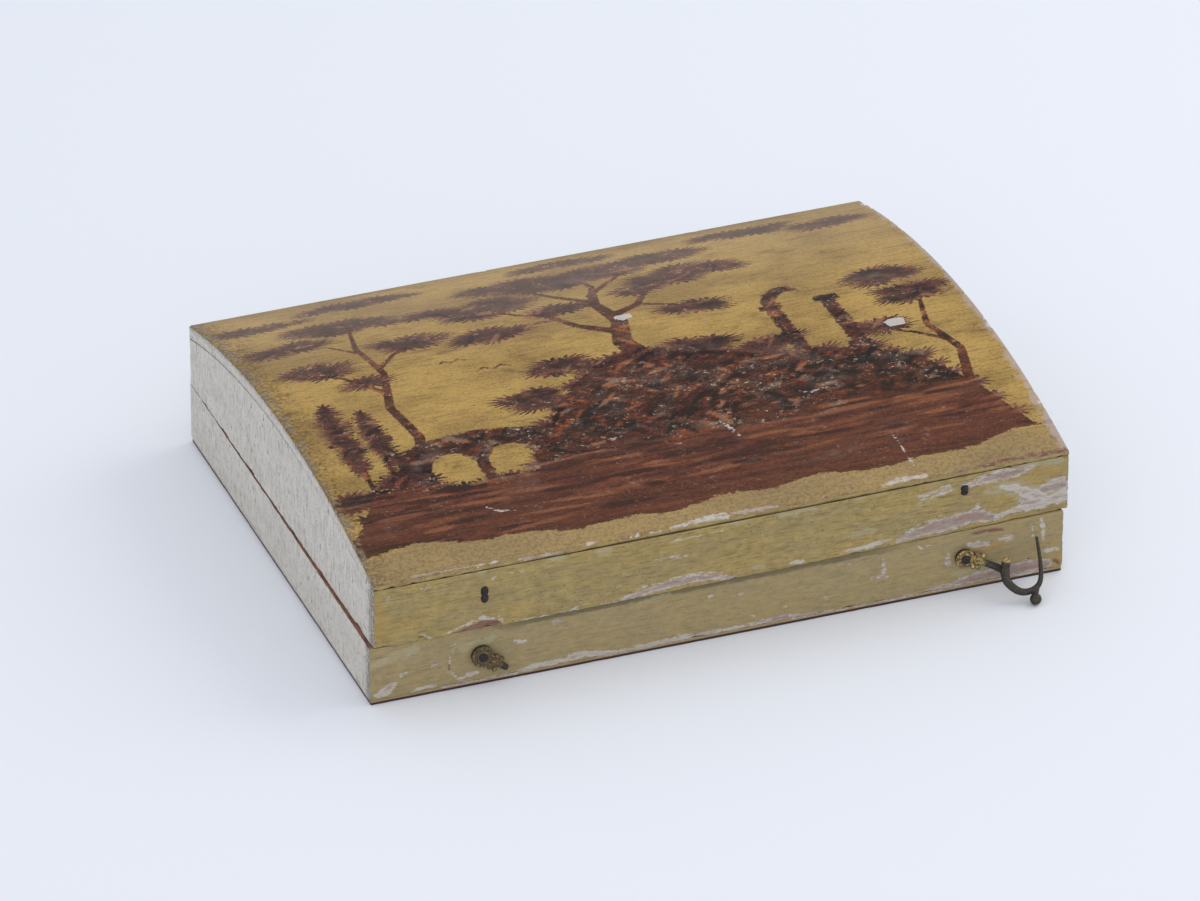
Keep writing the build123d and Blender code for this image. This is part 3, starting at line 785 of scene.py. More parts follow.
@dataclass(frozen=True)
class Board:
    """One board, cut from a straight block and fitted to the box's real lines."""

    name: str
    on_lid: bool
    low_x: float
    high_x: float
    low_y: float
    high_y: float
    cells: tuple[int, int, int]
    outer: Side
    top_depth: float = 6.5
    wear: float = 0.3
    losses: tuple[Patch, ...] = ()
    seed: float = 1.0
    chip_size: float = 7.0
    chip_depth: float = 0.5
    nick_size: float = 1.8
    nick_depth: float = 0.25
    wear_reach: float = 2.2
    rear_wear: float = 0.4
    joint_reach: float = 2.5

    def nominal(self) -> tuple[Point, Point]:
        """The straight block that the board is cut from, as its two corners."""
        if self.on_lid:
            return (self.low_x, self.low_y, SHAPE.seam_middle), (self.high_x, self.high_y, SHAPE.shoulder)
        return (self.low_x, self.low_y, SHAPE.bottom), (self.high_x, self.high_y, SHAPE.seam_middle)

    def side_of(self, face: bmesh.types.BMFace) -> Side:
        """The finish of one face of the block, by the way it looks.

        Args:
            face: The face.

        Returns:
            Its side.
        """
        normal, middle = face.normal, face.calc_center_median()
        if abs(normal.z) > LEVEL_NORMAL:
            if (normal.z > 0) == self.on_lid:
                return Side.JOINT
            return Side.FRONT if middle.y < SHAPE.ledge - SHAPE.half_depth else Side.RIM
        if abs(normal.x) > abs(normal.y):
            return Side.END if abs(middle.x) > SHAPE.half_length - OUTER_SKIN else Side.INSIDE
        if abs(middle.y) > SHAPE.half_depth - OUTER_SKIN:
            return Side.FRONT if middle.y < 0 else Side.BACK
        return Side.JOINT if self.outer is Side.END else Side.INSIDE

    def fitted(self, points: np.ndarray, low: Point, high: Point) -> np.ndarray:
        """Points of the straight block on the real board.

        Args:
            points: Points of the block.
            low: Its lowest corner.
            high: Its highest corner.

        Returns:
            The points in the box's frame.
        """
        real = points.copy()
        x, y, z = points.T
        share = (z - low[2]) / (high[2] - low[2])
        if not self.on_lid:
            real[:, 2] = low[2] + share * (SHAPE.seam(x, y) - SHAPE.half_seam_gap - low[2])
            return real
        if self.outer is Side.FRONT:
            span = SHAPE.half_lid - SHAPE.wall
            bow = SHAPE.front_bow + (SHAPE.crown_bow - SHAPE.front_bow) * share * SHAPE.bow_fade
            real[:, 1] = y - bow * np.clip(1.0 - (x / span) ** 2, 0.0, 1.0)
        real = SHAPE.from_lid(real)
        foot = SHAPE.seam(real[:, 0], real[:, 1]) + SHAPE.half_seam_gap
        real[:, 2] = foot + share * (SHAPE.dome(y, self.top_depth) - foot)
        return real

    def worn(self, points: np.ndarray, low: Point, high: Point) -> np.ndarray:
        """The block's points with its edges knocked and rubbed.

        Args:
            points: Points of the block.
            low: Its lowest corner.
            high: Its highest corner.

        Returns:
            The worn points.
        """
        near = edge_nearness(points, low, high)
        inner = SHAPE.half_depth - SHAPE.wall
        across, along = np.abs(points[:, 1]), np.abs(points[:, 0])
        at_joint = (across > inner - self.joint_reach) & (across < inner + self.joint_reach)
        joined = at_joint & (along > SHAPE.half_length - SHAPE.wall - 0.5)
        chips = np.clip(clouds(points, self.chip_size, self.seed) * 1.5 - 0.25, 0.0, 1.0)
        nicks = np.clip(clouds(points, self.nick_size, self.seed + 9.0), 0.0, 1.0)
        rear = (np.abs(across - SHAPE.half_depth) < 0.6) & (points[:, 1] > 0)
        depth = (self.chip_depth * chips + self.nick_depth * nicks) * smooth_step(self.wear_reach, 0.2, near)
        depth = depth * ~joined * np.where(rear, self.rear_wear, 1.0)
        middle = (np.array(low) + np.array(high)) / 2
        half = (np.array(high) - np.array(low)) / 2
        inward = np.sign(middle - points) * (np.abs(points - middle) > half - 1.4)
        return points + inward * depth[:, None]

    def build(self, finishes: dict[Side, bpy.types.Material]) -> bpy.types.Object:
        """Make the board.

        Args:
            finishes: The material of each side.

        Returns:
            The board's object.
        """
        low, high = self.nominal()
        mesh = block(low, high, self.cells, self.wear)
        mesh.normal_update()
        for face in mesh.faces:
            face.material_index = self.side_of(face).value
        points = corners_of(mesh)
        real = self.fitted(self.worn(points, low, high), low, high)
        marks = loss_marks(self.losses, real[:, 0], real[:, 2], points[:, 1] < -SHAPE.half_depth + 2.0)
        sunk = [kind.depth * smooth_step(0.3, -0.3, marks[kind.mark]) for kind in Loss]
        real[:, 1] += np.max(sunk, axis=0)
        body = "lid" if self.on_lid else "base"
        piece = Piece(f"{self.name}_wood", body, "painted_wood", (self.name,))
        return piece.put(mesh, real, [finishes[side] for side in Side], marks)


def boards() -> list[Board]:
    """Every upright board of the case and the lid."""
    length, depth, wall, lid = SHAPE.half_length, SHAPE.half_depth, SHAPE.wall, SHAPE.half_lid
    inner = depth - wall
    return [
        Board(
            "base_front", False, -length, length, -depth, -inner, (250, 6, 26), Side.FRONT,
            losses=CASE_LOSSES,
        ),
        Board("base_back", False, -length, length, inner, depth, (160, 4, 14), Side.BACK, seed=2.0),
        Board(
            "base_left_end", False, -length, -length + wall, -inner, inner, (5, 150, 20), Side.END,
            seed=3.0,
        ),
        Board(
            "base_right_end", False, length - wall, length, -inner, inner, (5, 110, 14), Side.END,
            seed=4.0,
        ),
        Board(
            "lid_front", True, -lid, lid, -depth, -inner, (250, 6, 28), Side.FRONT,
            top_depth=SHAPE.lip_thickness, losses=LID_LOSSES, seed=5.0,
        ),
        Board("lid_back", True, -lid, lid, inner, depth, (160, 4, 14), Side.BACK, seed=6.0),
        Board("lid_left_end", True, -lid, -lid + wall, -inner, inner, (5, 150, 20), Side.END, seed=7.0),
        Board("lid_right_end", True, lid - wall, lid, -inner, inner, (5, 110, 14), Side.END, seed=8.0),
    ]


@dataclass(frozen=True)
class BottomBoard:
    """The thin board nailed under the case."""

    cells: tuple[int, int, int] = (200, 45, 3)
    wear: float = 0.35
    rag: float = 0.25

    def build(self, bare: bpy.types.Material, finishes: dict[Side, bpy.types.Material]) -> bpy.types.Object:
        """Make the board.

        Args:
            bare: The material of its underside and its inside.
            finishes: The materials of its painted edges.

        Returns:
            Its object.
        """
        half_x, half_y = SHAPE.half_length - SHAPE.bottom_inset, SHAPE.half_depth - SHAPE.bottom_inset
        low, high = (-half_x, -half_y, 0.0), (half_x, half_y, SHAPE.bottom)
        mesh = block(low, high, self.cells, self.wear)
        mesh.normal_update()
        for face in mesh.faces:
            normal = face.normal
            if abs(normal.z) > LEVEL_NORMAL:
                face.material_index = len(Side)
            elif abs(normal.x) > abs(normal.y):
                face.material_index = Side.END.value
            else:
                face.material_index = (Side.FRONT if normal.y < 0 else Side.BACK).value
        points = corners_of(mesh)
        near = edge_nearness(points, low, high)
        ragged = self.rag * clouds(points, 9.0, 4.0) * smooth_step(1.5, 0.2, near)
        points[:, :2] -= np.sign(points[:, :2]) * np.clip(ragged, 0.0, 1.0)[:, None]
        materials = [finishes[side] for side in Side] + [bare]
        marks = loss_marks(CASE_LOSSES, points[:, 0], points[:, 2], points[:, 1] < low[1] + 1.0)
        piece = Piece("base_bottom_wood", "base", "bottom_wood", ("base_bottom",))
        return piece.put(mesh, points, materials, marks)


# -------------------------------------------------------------- the painted lid
@dataclass(frozen=True)
class Leaves:
    """A flat cluster of leaves with a feathery outline."""

    x: float
    y: float
    half_length: float
    half_depth: float
    lean: float = 0.0

    def gap(self, x: np.ndarray, y: np.ndarray) -> tuple[np.ndarray, np.ndarray]:
        """Distance to the outline and the run along it.

        Args:
            x: Places along the lid.
            y: Places across the lid.

        Returns:
            Distances, negative inside, and runs in millimetres.
        """
        along = (x - self.x) + self.lean * (y - self.y)
        across = (y - self.y) - self.lean * (x - self.x)
        radius = np.sqrt((along / self.half_length) ** 2 + (across / self.half_depth) ** 2)
        size = math.sqrt(self.half_length * self.half_depth)
        run = np.arctan2(across / self.half_depth, along / self.half_length) * size * 1.2
        return (radius - 1.0) * self.half_depth * 1.15, run


def nearest(
    clumps: Sequence[Leaves], x: np.ndarray, y: np.ndarray
) -> tuple[np.ndarray, np.ndarray]:
    """Distance to the nearest clump's outline and the run along it.

    Args:
        clumps: The clumps.
        x: Places along the lid.
        y: Places across the lid.

    Returns:
        Distances, negative inside, and runs in millimetres.
    """
    gap = np.full(len(x), 50.0)
    run = np.zeros(len(x))
    for clump in clumps:
        away, along = clump.gap(x, y)
        closer = away < gap
        gap = np.where(closer, away, gap)
        run = np.where(closer, along, run)
    return gap, run


@dataclass(frozen=True)
class LidPicture:
    """A plain landscape for the lid's top: a hill with trees, a bridge, a ruin, cypresses and birds."""

    bank_x: tuple[float, ...] = (
        -158, -150, -140, -128, -116, -108, -70, -62, -52, -42, -30,
        -16, 0, 22, 44, 64, 84, 104, 122, 138, 152,
    )
    bank_y: tuple[float, ...] = (
        -92, -82, -66, -58, -62, -74, -74, -60, -42, -32, -16,
        -5, 0, -6, -14, -24, -28, -32, -44, -70, -101,
    )
    bridge_x: float = -88.0
    bridge_half: float = 36.0
    bridge_foot: float = -78.0
    deck: float = -37.0
    arches_x: tuple[float, float] = (-101.0, -75.0)
    arch_foot: float = -60.0
    arch_radius: float = 10.0
    ruin_x: float = 88.0
    ruin_half: float = 13.0
    wood: tuple[Stroke, ...] = (
        Stroke(((8, -10, 6.6), (3, 10, 4.6), (9, 30, 3.8), (5, 50, 2.6), (11, 70, 1.5), (8, 84, 0.6))),
        Stroke(((5, 20, 2.6), (-10, 32, 1.9), (-19, 48, 1.5), (-30, 54, 1.1), (-40, 64, 0.6))),
        Stroke(((8, 36, 2.4), (22, 42, 1.8), (32, 56, 1.3), (48, 61, 0.7))),
        Stroke(((4, 54, 1.8), (-8, 66, 1.3), (-18, 80, 0.8))),
        Stroke(((6, 60, 1.6), (20, 72, 1.2), (34, 84, 0.8))),
        Stroke(((-18, 42, 1.2), (-34, 42, 0.9), (-46, 36, 0.6))),
        Stroke(((22, 43, 1.3), (36, 36, 0.9), (44, 30, 0.6))),
        Stroke(((136, -66, 2.6), (141, -44, 2.0), (134, -22, 1.6), (139, -2, 1.0))),
        Stroke(((138, -36, 1.3), (126, -26, 0.9), (118, -22, 0.6))),
        Stroke(((-140, -74, 1.3), (-139, -50, 0.9))),
        Stroke(((-128, -64, 1.2), (-127, -44, 0.8))),
        Stroke(
            ((-114, -58, 3.0), (-108, -34, 2.4), (-112, -8, 2.1), (-104, 22, 1.7), (-107, 50, 1.3),
             (-102, 74, 0.7))
        ),
        Stroke(((-110, 6, 1.5), (-122, 24, 1.1), (-132, 32, 0.7))),
        Stroke(((-105, 26, 1.3), (-94, 38, 1.0), (-84, 42, 0.6))),
        Stroke(((-106, 44, 1.0), (-118, 58, 0.7))),
        Stroke(((-66, 8, 0.4), (-62, 11, 0.8), (-58, 8, 0.4), (-54, 11, 0.8), (-50, 8, 0.4))),
        Stroke(((-80, 20, 0.4), (-76.5, 22.5, 0.7), (-73, 20, 0.4), (-69.5, 22.5, 0.7), (-66, 20, 0.4))),
    )
    crowns: tuple[Leaves, ...] = (
        Leaves(6, 84, 34, 9, 0.05),
        Leaves(-38, 68, 25, 9, 0.12),
        Leaves(52, 66, 25, 9, -0.1),
        Leaves(-22, 90, 26, 6),
        Leaves(46, 92, 28, 6),
        Leaves(-50, 38, 15, 6, 0.15),
        Leaves(46, 30, 14, 6, -0.2),
        Leaves(-14, 52, 12, 6, 0.1),
        Leaves(24, 58, 11, 5, -0.1),
        Leaves(138, 6, 15, 8),
        Leaves(116, -16, 12, 6, 0.1),
        Leaves(130, 26, 17, 7, 0.05),
        Leaves(-104, 78, 27, 8, 0.05),
        Leaves(-136, 62, 16, 7, 0.1),
        Leaves(-132, 34, 17, 7, 0.15),
        Leaves(-84, 46, 17, 7, -0.1),
        Leaves(-116, 16, 9, 4.5, 0.1),
        Leaves(-66, 74, 12, 4),
        Leaves(-88, 104, 30, 4.0),
        Leaves(-134, 96, 22, 4.5),
        Leaves(6, 107, 34, 3.5),
        Leaves(92, 104, 30, 4.0),
        Leaves(138, 96, 18, 4.5),
        Leaves(-52, -22, 12, 8, 0.1),
        Leaves(-30, -2, 14, 7),
        Leaves(34, -4, 14, 7, -0.1),
        Leaves(62, -14, 13, 7, 0.1),
        Leaves(-152, -70, 7, 5),
    )
    cypresses: tuple[Leaves, ...] = (
        Leaves(-140, -26, 6.6, 28),
        Leaves(-126, -30, 5.6, 22),
    )
    sprigs: int = 30
    bush_zone: Point = (-40.0, 150.0, -62.0)
    bushes: int = 90
    clump: Point = (7.5, 3.0, 0.5)
    shrubs: int = 70
    dabs: int = 1100

    def clumps(self) -> list[Leaves]:
        """Every cypress and crown broken up into small overlapping clumps, and shrubs along the bank."""
        draw = random.Random(11)
        length, depth, spread = self.clump
        made = []
        for tree in self.cypresses:
            for index in range(self.sprigs):
                share = (index + 0.5) / self.sprigs
                width = tree.half_length * min(1.0, 1.9 * share**0.5 * (1.05 - share) ** 0.5)
                made.append(
                    Leaves(
                        tree.x + draw.uniform(-0.25, 0.25) * width,
                        tree.y + tree.half_depth * (2.0 * share - 1.0),
                        width * draw.uniform(0.6, 0.85),
                        draw.uniform(2.4, 3.6),
                        draw.uniform(-0.3, 0.3),
                    )
                )
        for crown in self.crowns:
            for _ in range(max(6, int(crown.half_length * crown.half_depth / 8.0))):
                turn, away = draw.uniform(0.0, 2 * math.pi), math.sqrt(draw.random())
                size = draw.uniform(1.0 - spread, 1.0 + spread)
                made.append(
                    Leaves(
                        crown.x + math.cos(turn) * away * max(crown.half_length - length * 0.6, 1.5),
                        crown.y + math.sin(turn) * away * max(crown.half_depth - depth * 0.6, 1.5),
                        length * size,
                        depth * size,
                        crown.lean + draw.uniform(-0.25, 0.25),
                    )
                )
        for index in range(self.shrubs):
            place = -150.0 + 300.0 * (index + draw.random()) / self.shrubs
            height = float(np.interp(place, self.bank_x, self.bank_y))
            size = draw.uniform(2.2, 7.0)
            made.append(Leaves(place, height + 0.5, size, size * 0.55, draw.uniform(-0.5, 0.5)))
        return made

    def undergrowth(self) -> list[Leaves]:
        """Small bushes on the face of the hill."""
        draw = random.Random(23)
        first, last, foot = self.bush_zone
        made = []
        for _ in range(self.bushes):
            x = draw.uniform(first, last - 20.0)
            top = float(np.interp(x, self.bank_x, self.bank_y))
            y = foot + (top - foot) * draw.random() ** 0.7
            size = draw.uniform(0.5, 1.3)
            made.append(Leaves(x, y, 6.0 * size, 2.8 * size, draw.uniform(-0.4, 0.4)))
        return made

    def dabbed(self, x: np.ndarray, y: np.ndarray, seed: int, size: float) -> np.ndarray:
        """Light and dark of many overlapping brush dabs, level and long near the front.

        Args:
            x: Places along the lid.
            y: Places across the lid.
            seed: Seed of the dabs.
            size: How large they are.

        Returns:
            Values from -1 to 1.
        """
        draw = random.Random(seed)
        tone = np.zeros(len(x))
        for _ in range(int(self.dabs / size)):
            near_x, near_y = draw.uniform(-158.0, 158.0), draw.triangular(-108.0, 112.0, -60.0)
            level = near_y < -66.0
            turn = draw.uniform(-0.08, 0.08) if level else draw.uniform(-1.0, 1.2)
            half = size * (draw.uniform(7.0, 24.0) if level else draw.uniform(2.5, 9.0))
            width = size * draw.uniform(0.9, 2.0)
            value = draw.uniform(-1.0, 1.0)
            within = (np.abs(x - near_x) < half + 4.0) & (np.abs(y - near_y) < half + 4.0)
            near = np.flatnonzero(within)
            along = (x[near] - near_x) * math.cos(turn) + (y[near] - near_y) * math.sin(turn)
            across = (y[near] - near_y) * math.cos(turn) - (x[near] - near_x) * math.sin(turn)
            across = across - 0.02 * along**2 * (0.0 if level else draw.uniform(-1.5, 1.5)) / size
            cover = smooth_step(1.0, 0.55, np.hypot(along / half, across / width)) * 0.85
            tone[near] += (value - tone[near]) * cover
        return tone

    def bank(self, x: np.ndarray, y: np.ndarray) -> np.ndarray:
        """Distance to the outline of the hill along the front.

        Args:
            x: Places along the lid.
            y: Places across the lid.

        Returns:
            Distances, negative inside.
        """
        top = np.interp(x, self.bank_x, self.bank_y)
        front = -108.5 + 1.5 * np.sin(x / 24.0) + 1.3 * np.sin(x / 7.3 + 1.0)
        front = front + 6.0 * smooth_step(80.0, 150.0, np.abs(x))
        return np.maximum((y - top) * 0.8, front - y)

    def bridge(self, x: np.ndarray, y: np.ndarray) -> np.ndarray:
        """Distance to the outline of a two-arched bridge at the left.

        Args:
            x: Places along the lid.
            y: Places across the lid.

        Returns:
            Distances, negative inside.
        """
        along = x - self.bridge_x
        deck = self.deck - (along / 22.0) ** 2 * 2.6
        solid = np.maximum(np.maximum(y - deck, self.bridge_foot - y), np.abs(along) - self.bridge_half)
        for middle in self.arches_x:
            pier = np.where(y < self.arch_foot, np.abs(x - middle), FAR)
            arch = np.minimum(np.hypot(x - middle, y - self.arch_foot), pier)
            solid = np.maximum(solid, self.arch_radius - arch)
        return solid

    def ruin(self, x: np.ndarray, y: np.ndarray) -> np.ndarray:
        """Distance to the outline of a broken arch on two pillars at the right.

        Args:
            x: Places along the lid.
            y: Places across the lid.

        Returns:
            Distances, negative inside.
        """
        across = np.abs(np.abs(x - self.ruin_x) - self.ruin_half)
        pillars = np.maximum(across - 3.6, np.maximum(y - 18.0, -36.0 - y))
        caps = np.maximum(across - 5.4, np.abs(y - 15.5) - 2.0)
        feet = np.maximum(across - 5.6, np.abs(y + 27.0) - 3.2)
        arch = np.abs(np.hypot(x - self.ruin_x, y - 17.0) - self.ruin_half) - 3.2
        arch = np.maximum(np.maximum(arch, 17.0 - y), x - 94.0 + 0.5 * (y - 24.0))
        return np.minimum(np.minimum(pillars, caps), np.minimum(feet, arch))

    def marks(self, x: np.ndarray, y: np.ndarray) -> dict[str, np.ndarray]:
        """All the outlines and tones of the picture as numbers for the mesh.

        Args:
            x: Places along the lid.
            y: Places across the lid.

        Returns:
            Numbers to store, by name.
        """
        wood = np.min([stroke.gap(x, y) for stroke in self.wood], axis=0)
        gap, run = nearest(self.clumps(), x, y)
        bush_gap, bush_run = nearest(self.undergrowth(), x, y)
        land = np.minimum(np.minimum(self.bank(x, y), self.bridge(x, y)), self.ruin(x, y))
        return {
            "land": land,
            "trunk": wood,
            "leaf_gap": gap,
            "leaf_run": run,
            "bush_gap": bush_gap,
            "bush_run": bush_run,
            "tone": self.dabbed(x, y, 5, 1.0),
            "cool": self.dabbed(x, y, 6, 1.9),
        }


@dataclass(frozen=True)
class TopBoard:
    """The bent board over the lid, rebated over the front board."""

    cells_x: int = 340
    cells_y: int = 250
    crowding: float = 0.45
    edge_radius: float = 0.8
    side_rings: int = 3
    seen_rise: float = 0.55
    sink: float = 0.045
    chip_depth: float = 0.35
    swell: float = 0.08
    front_reach: float = 12.0
    edge_reach: float = 0.2
    strip_length: float = 100.0
    picture: LidPicture = field(default_factory=LidPicture)
    flakes: tuple[Point, ...] = ((11.8, 32.6, 4.0), (121.4, -15.5, 4.8))
    scratches: tuple[Stroke, ...] = (
        Stroke(((89.2, -91.0, 0.0), (90.4, -103.0, 0.3), (90.9, -112.0, 0.1))),
        Stroke(((-97.0, -88.0, 0.0), (-92.0, -92.0, 0.3), (-86.0, -93.0, 0.1))),
        Stroke(((-33.0, -58.0, 0.0), (-29.0, -61.0, 0.5), (-24.0, -60.0, 0.3))),
        Stroke(((20.0, -62.0, 0.0), (24.0, -70.0, 0.4), (25.0, -75.0, 0.0))),
        Stroke(((60.0, -52.0, 0.1), (66.0, -55.0, 0.4), (70.0, -54.0, 0.0))),
    )

    def crowded(self, share: np.ndarray) -> np.ndarray:
        """Even places from -1 to 1, moved closer together near both ends."""
        return (1.0 - self.crowding) * share + self.crowding * np.sin(share * math.pi / 2)

    def depth_below(self, y: np.ndarray) -> np.ndarray:
        """Thickness of the board at y, thinner over the front board."""
        return np.where(y < SHAPE.wall - SHAPE.half_depth, SHAPE.lip_thickness, SHAPE.top_thickness)

    def sunk(self, x: np.ndarray, y: np.ndarray) -> tuple[np.ndarray, np.ndarray]:
        """How far the surface lies under the true dome.

        Args:
            x: Places along the lid.
            y: Places across the lid.

        Returns:
            Depths in millimetres, and how much of each place is chipped from 0 to 1.
        """
        border = np.minimum(SHAPE.half_lid - np.abs(x), SHAPE.half_depth - np.abs(y))
        short = np.clip(self.edge_radius - border, 0.0, self.edge_radius)
        rounded = self.edge_radius - np.sqrt(self.edge_radius**2 - short**2 + 1e-9)
        flat = np.stack([x, y, np.zeros(len(x))], axis=1)
        knocks = clouds(flat, 6.0, 31.0) * 0.9 + clouds(flat, 1.7, 5.0) * 0.5
        level_edge = np.abs(y) - SHAPE.half_depth > np.abs(x) - SHAPE.half_lid
        chip = smooth_step(0.12, 0.32, knocks - border * 0.22 - 0.28 * level_edge)
        for flake_x, flake_y, size in self.flakes:
            away = np.hypot((x - flake_x) / 1.5, y - flake_y) / size + clouds(flat, 3.0, 8.0) * 0.25
            chip = np.maximum(chip, smooth_step(0.75, 0.6, away))
        swell = (clouds(flat, 24.0, 3.0) * self.swell + self.swell) * smooth_step(0.0, 4.0, border)
        return self.sink + rounded + chip * self.chip_depth + swell, chip

    def build(self, top: bpy.types.Material, finishes: dict[Side, bpy.types.Material]) -> bpy.types.Object:
        """Make the board.

        Args:
            top: The material of its top.
            finishes: The material of each other side.

        Returns:
            The board's object.
        """
        mesh = bmesh.new()
        bmesh.ops.create_grid(mesh, x_segments=self.cells_x, y_segments=self.cells_y, size=1.0)
        rim = [edge for edge in mesh.edges if edge.is_boundary]
        rings = []
        for _ in range(self.side_rings):
            grown = bmesh.ops.extrude_edge_only(mesh, edges=rim)["geom"]
            rings.append([item for item in grown if isinstance(item, bmesh.types.BMVert)])
            rim = [item for item in grown if isinstance(item, bmesh.types.BMEdge) and item.is_boundary]
        self.close_underside(mesh, rim)
        mesh.verts.index_update()
        level = np.zeros(len(mesh.verts))
        for number, ring in enumerate(rings):
            level[[vertex.index for vertex in ring]] = (number + 1) / self.side_rings
        grid = corners_of(mesh)
        x = self.crowded(grid[:, 0]) * SHAPE.half_lid
        y = self.crowded(grid[:, 1]) * SHAPE.half_depth
        sunk, chip = self.sunk(x, y)
        ragged = clouds(np.stack([x, y, level * 6.0], axis=1), 5.0, 12.0) * 0.25 * (level > 0) * (level < 1)
        nothing = np.zeros(len(x))
        line = np.stack([x, nothing, nothing], axis=1)
        open_joint = smooth_step(-0.15, 0.30, clouds(line, 11.0, 61.0))
        inward = np.clip(ragged, 0.0, 1.0) + (0.02 + 0.23 * open_joint) * (level >= 1)
        reach = np.where(level > 0, inward, 0.0)
        on_side = np.abs(x) > SHAPE.half_lid - 0.01
        on_front = np.abs(y) > SHAPE.half_depth - 0.01
        inset_x, inset_y = np.sign(x) * reach * on_side, np.sign(y) * reach * on_front
        places = np.stack([x - inset_x, y - inset_y, nothing], axis=1)
        jag = np.clip(clouds(line, 3.0, 77.0) * 1.6 - 0.1, 0.0, 0.8)
        jag = jag * (0.12 + 0.88 * smooth_step(85.0, 115.0, np.abs(x + 10.0)))
        jag = jag * (y < SHAPE.wall - SHAPE.half_depth)
        depth = sunk + level * (self.depth_below(y) - jag - sunk)
        places[:, 2] = SHAPE.dome(y, 0.0) - depth
        marks = self.picture.marks(x, y)
        marks["chip"] = chip * (level < 1)
        box = SHAPE.from_lid(places)
        seen = box[:, 2] + self.seen_rise * np.clip(y + SHAPE.half_depth, 0.0, self.front_reach)
        marks.update(loss_marks(RIM_LOSSES, box[:, 0], seen, y < self.front_reach - SHAPE.half_depth))
        scratched = np.min([scratch.gap(x, y) for scratch in self.scratches], axis=0)
        marks[Loss.GESSO.mark] = np.minimum(marks[Loss.GESSO.mark], scratched)
        for face in mesh.faces:
            face.material_index = self.side_of(face, places)
        bmesh.ops.recalc_face_normals(mesh, faces=mesh.faces)
        materials = [finishes[side] for side in Side] + [top]
        piece = Piece("lid_top_wood", "lid", "varnished_top", ("lid_top",))
        return piece.put(mesh, box, materials, marks)

    def close_underside(self, mesh: bmesh.types.BMesh, rim: list[bmesh.types.BMEdge]) -> None:
        """Close the open lower rim: long strips from end to end, then the two edge strips.

        Args:
            mesh: The mesh, still a flat grid from -1 to 1.
            rim: Its open edges.
        """
        step = 2.0 / self.cells_y
        strips = []
        for edge in rim:
            first, second = (vertex.co for vertex in edge.verts)
            along_end = abs(first.x) > ALMOST_ONE and abs(second.x) > ALMOST_ONE
            if along_end and max(abs(first.y), abs(second.y)) < 1.0 - step / 2:
                strips.append(edge)
        bmesh.ops.bridge_loops(mesh, edges=strips)
        left_open = [edge for edge in mesh.edges if edge.is_boundary]
        bmesh.ops.holes_fill(mesh, edges=left_open, sides=0)

    def side_of(self, face: bmesh.types.BMFace, places: np.ndarray) -> int:
        """The material of one face, by where its corners lie.

        Args:
            face: The face.
            places: Places of all vertices in the lid's frame.

        Returns:
            The index of its material.
        """
        corners = places[[vertex.index for vertex in face.verts]]
        middle = corners.mean(axis=0)
        spread = corners.max(axis=0) - corners.min(axis=0)
        if spread[0] > self.strip_length:
            return Side.INSIDE.value
        if middle[0] < self.edge_reach - SHAPE.half_lid or middle[0] > SHAPE.half_lid - self.edge_reach:
            return Side.END.value
        if middle[1] < self.edge_reach - SHAPE.half_depth:
            return Side.FRONT.value
        if middle[1] > SHAPE.half_depth - self.edge_reach:
            return Side.BACK.value
        return len(Side)


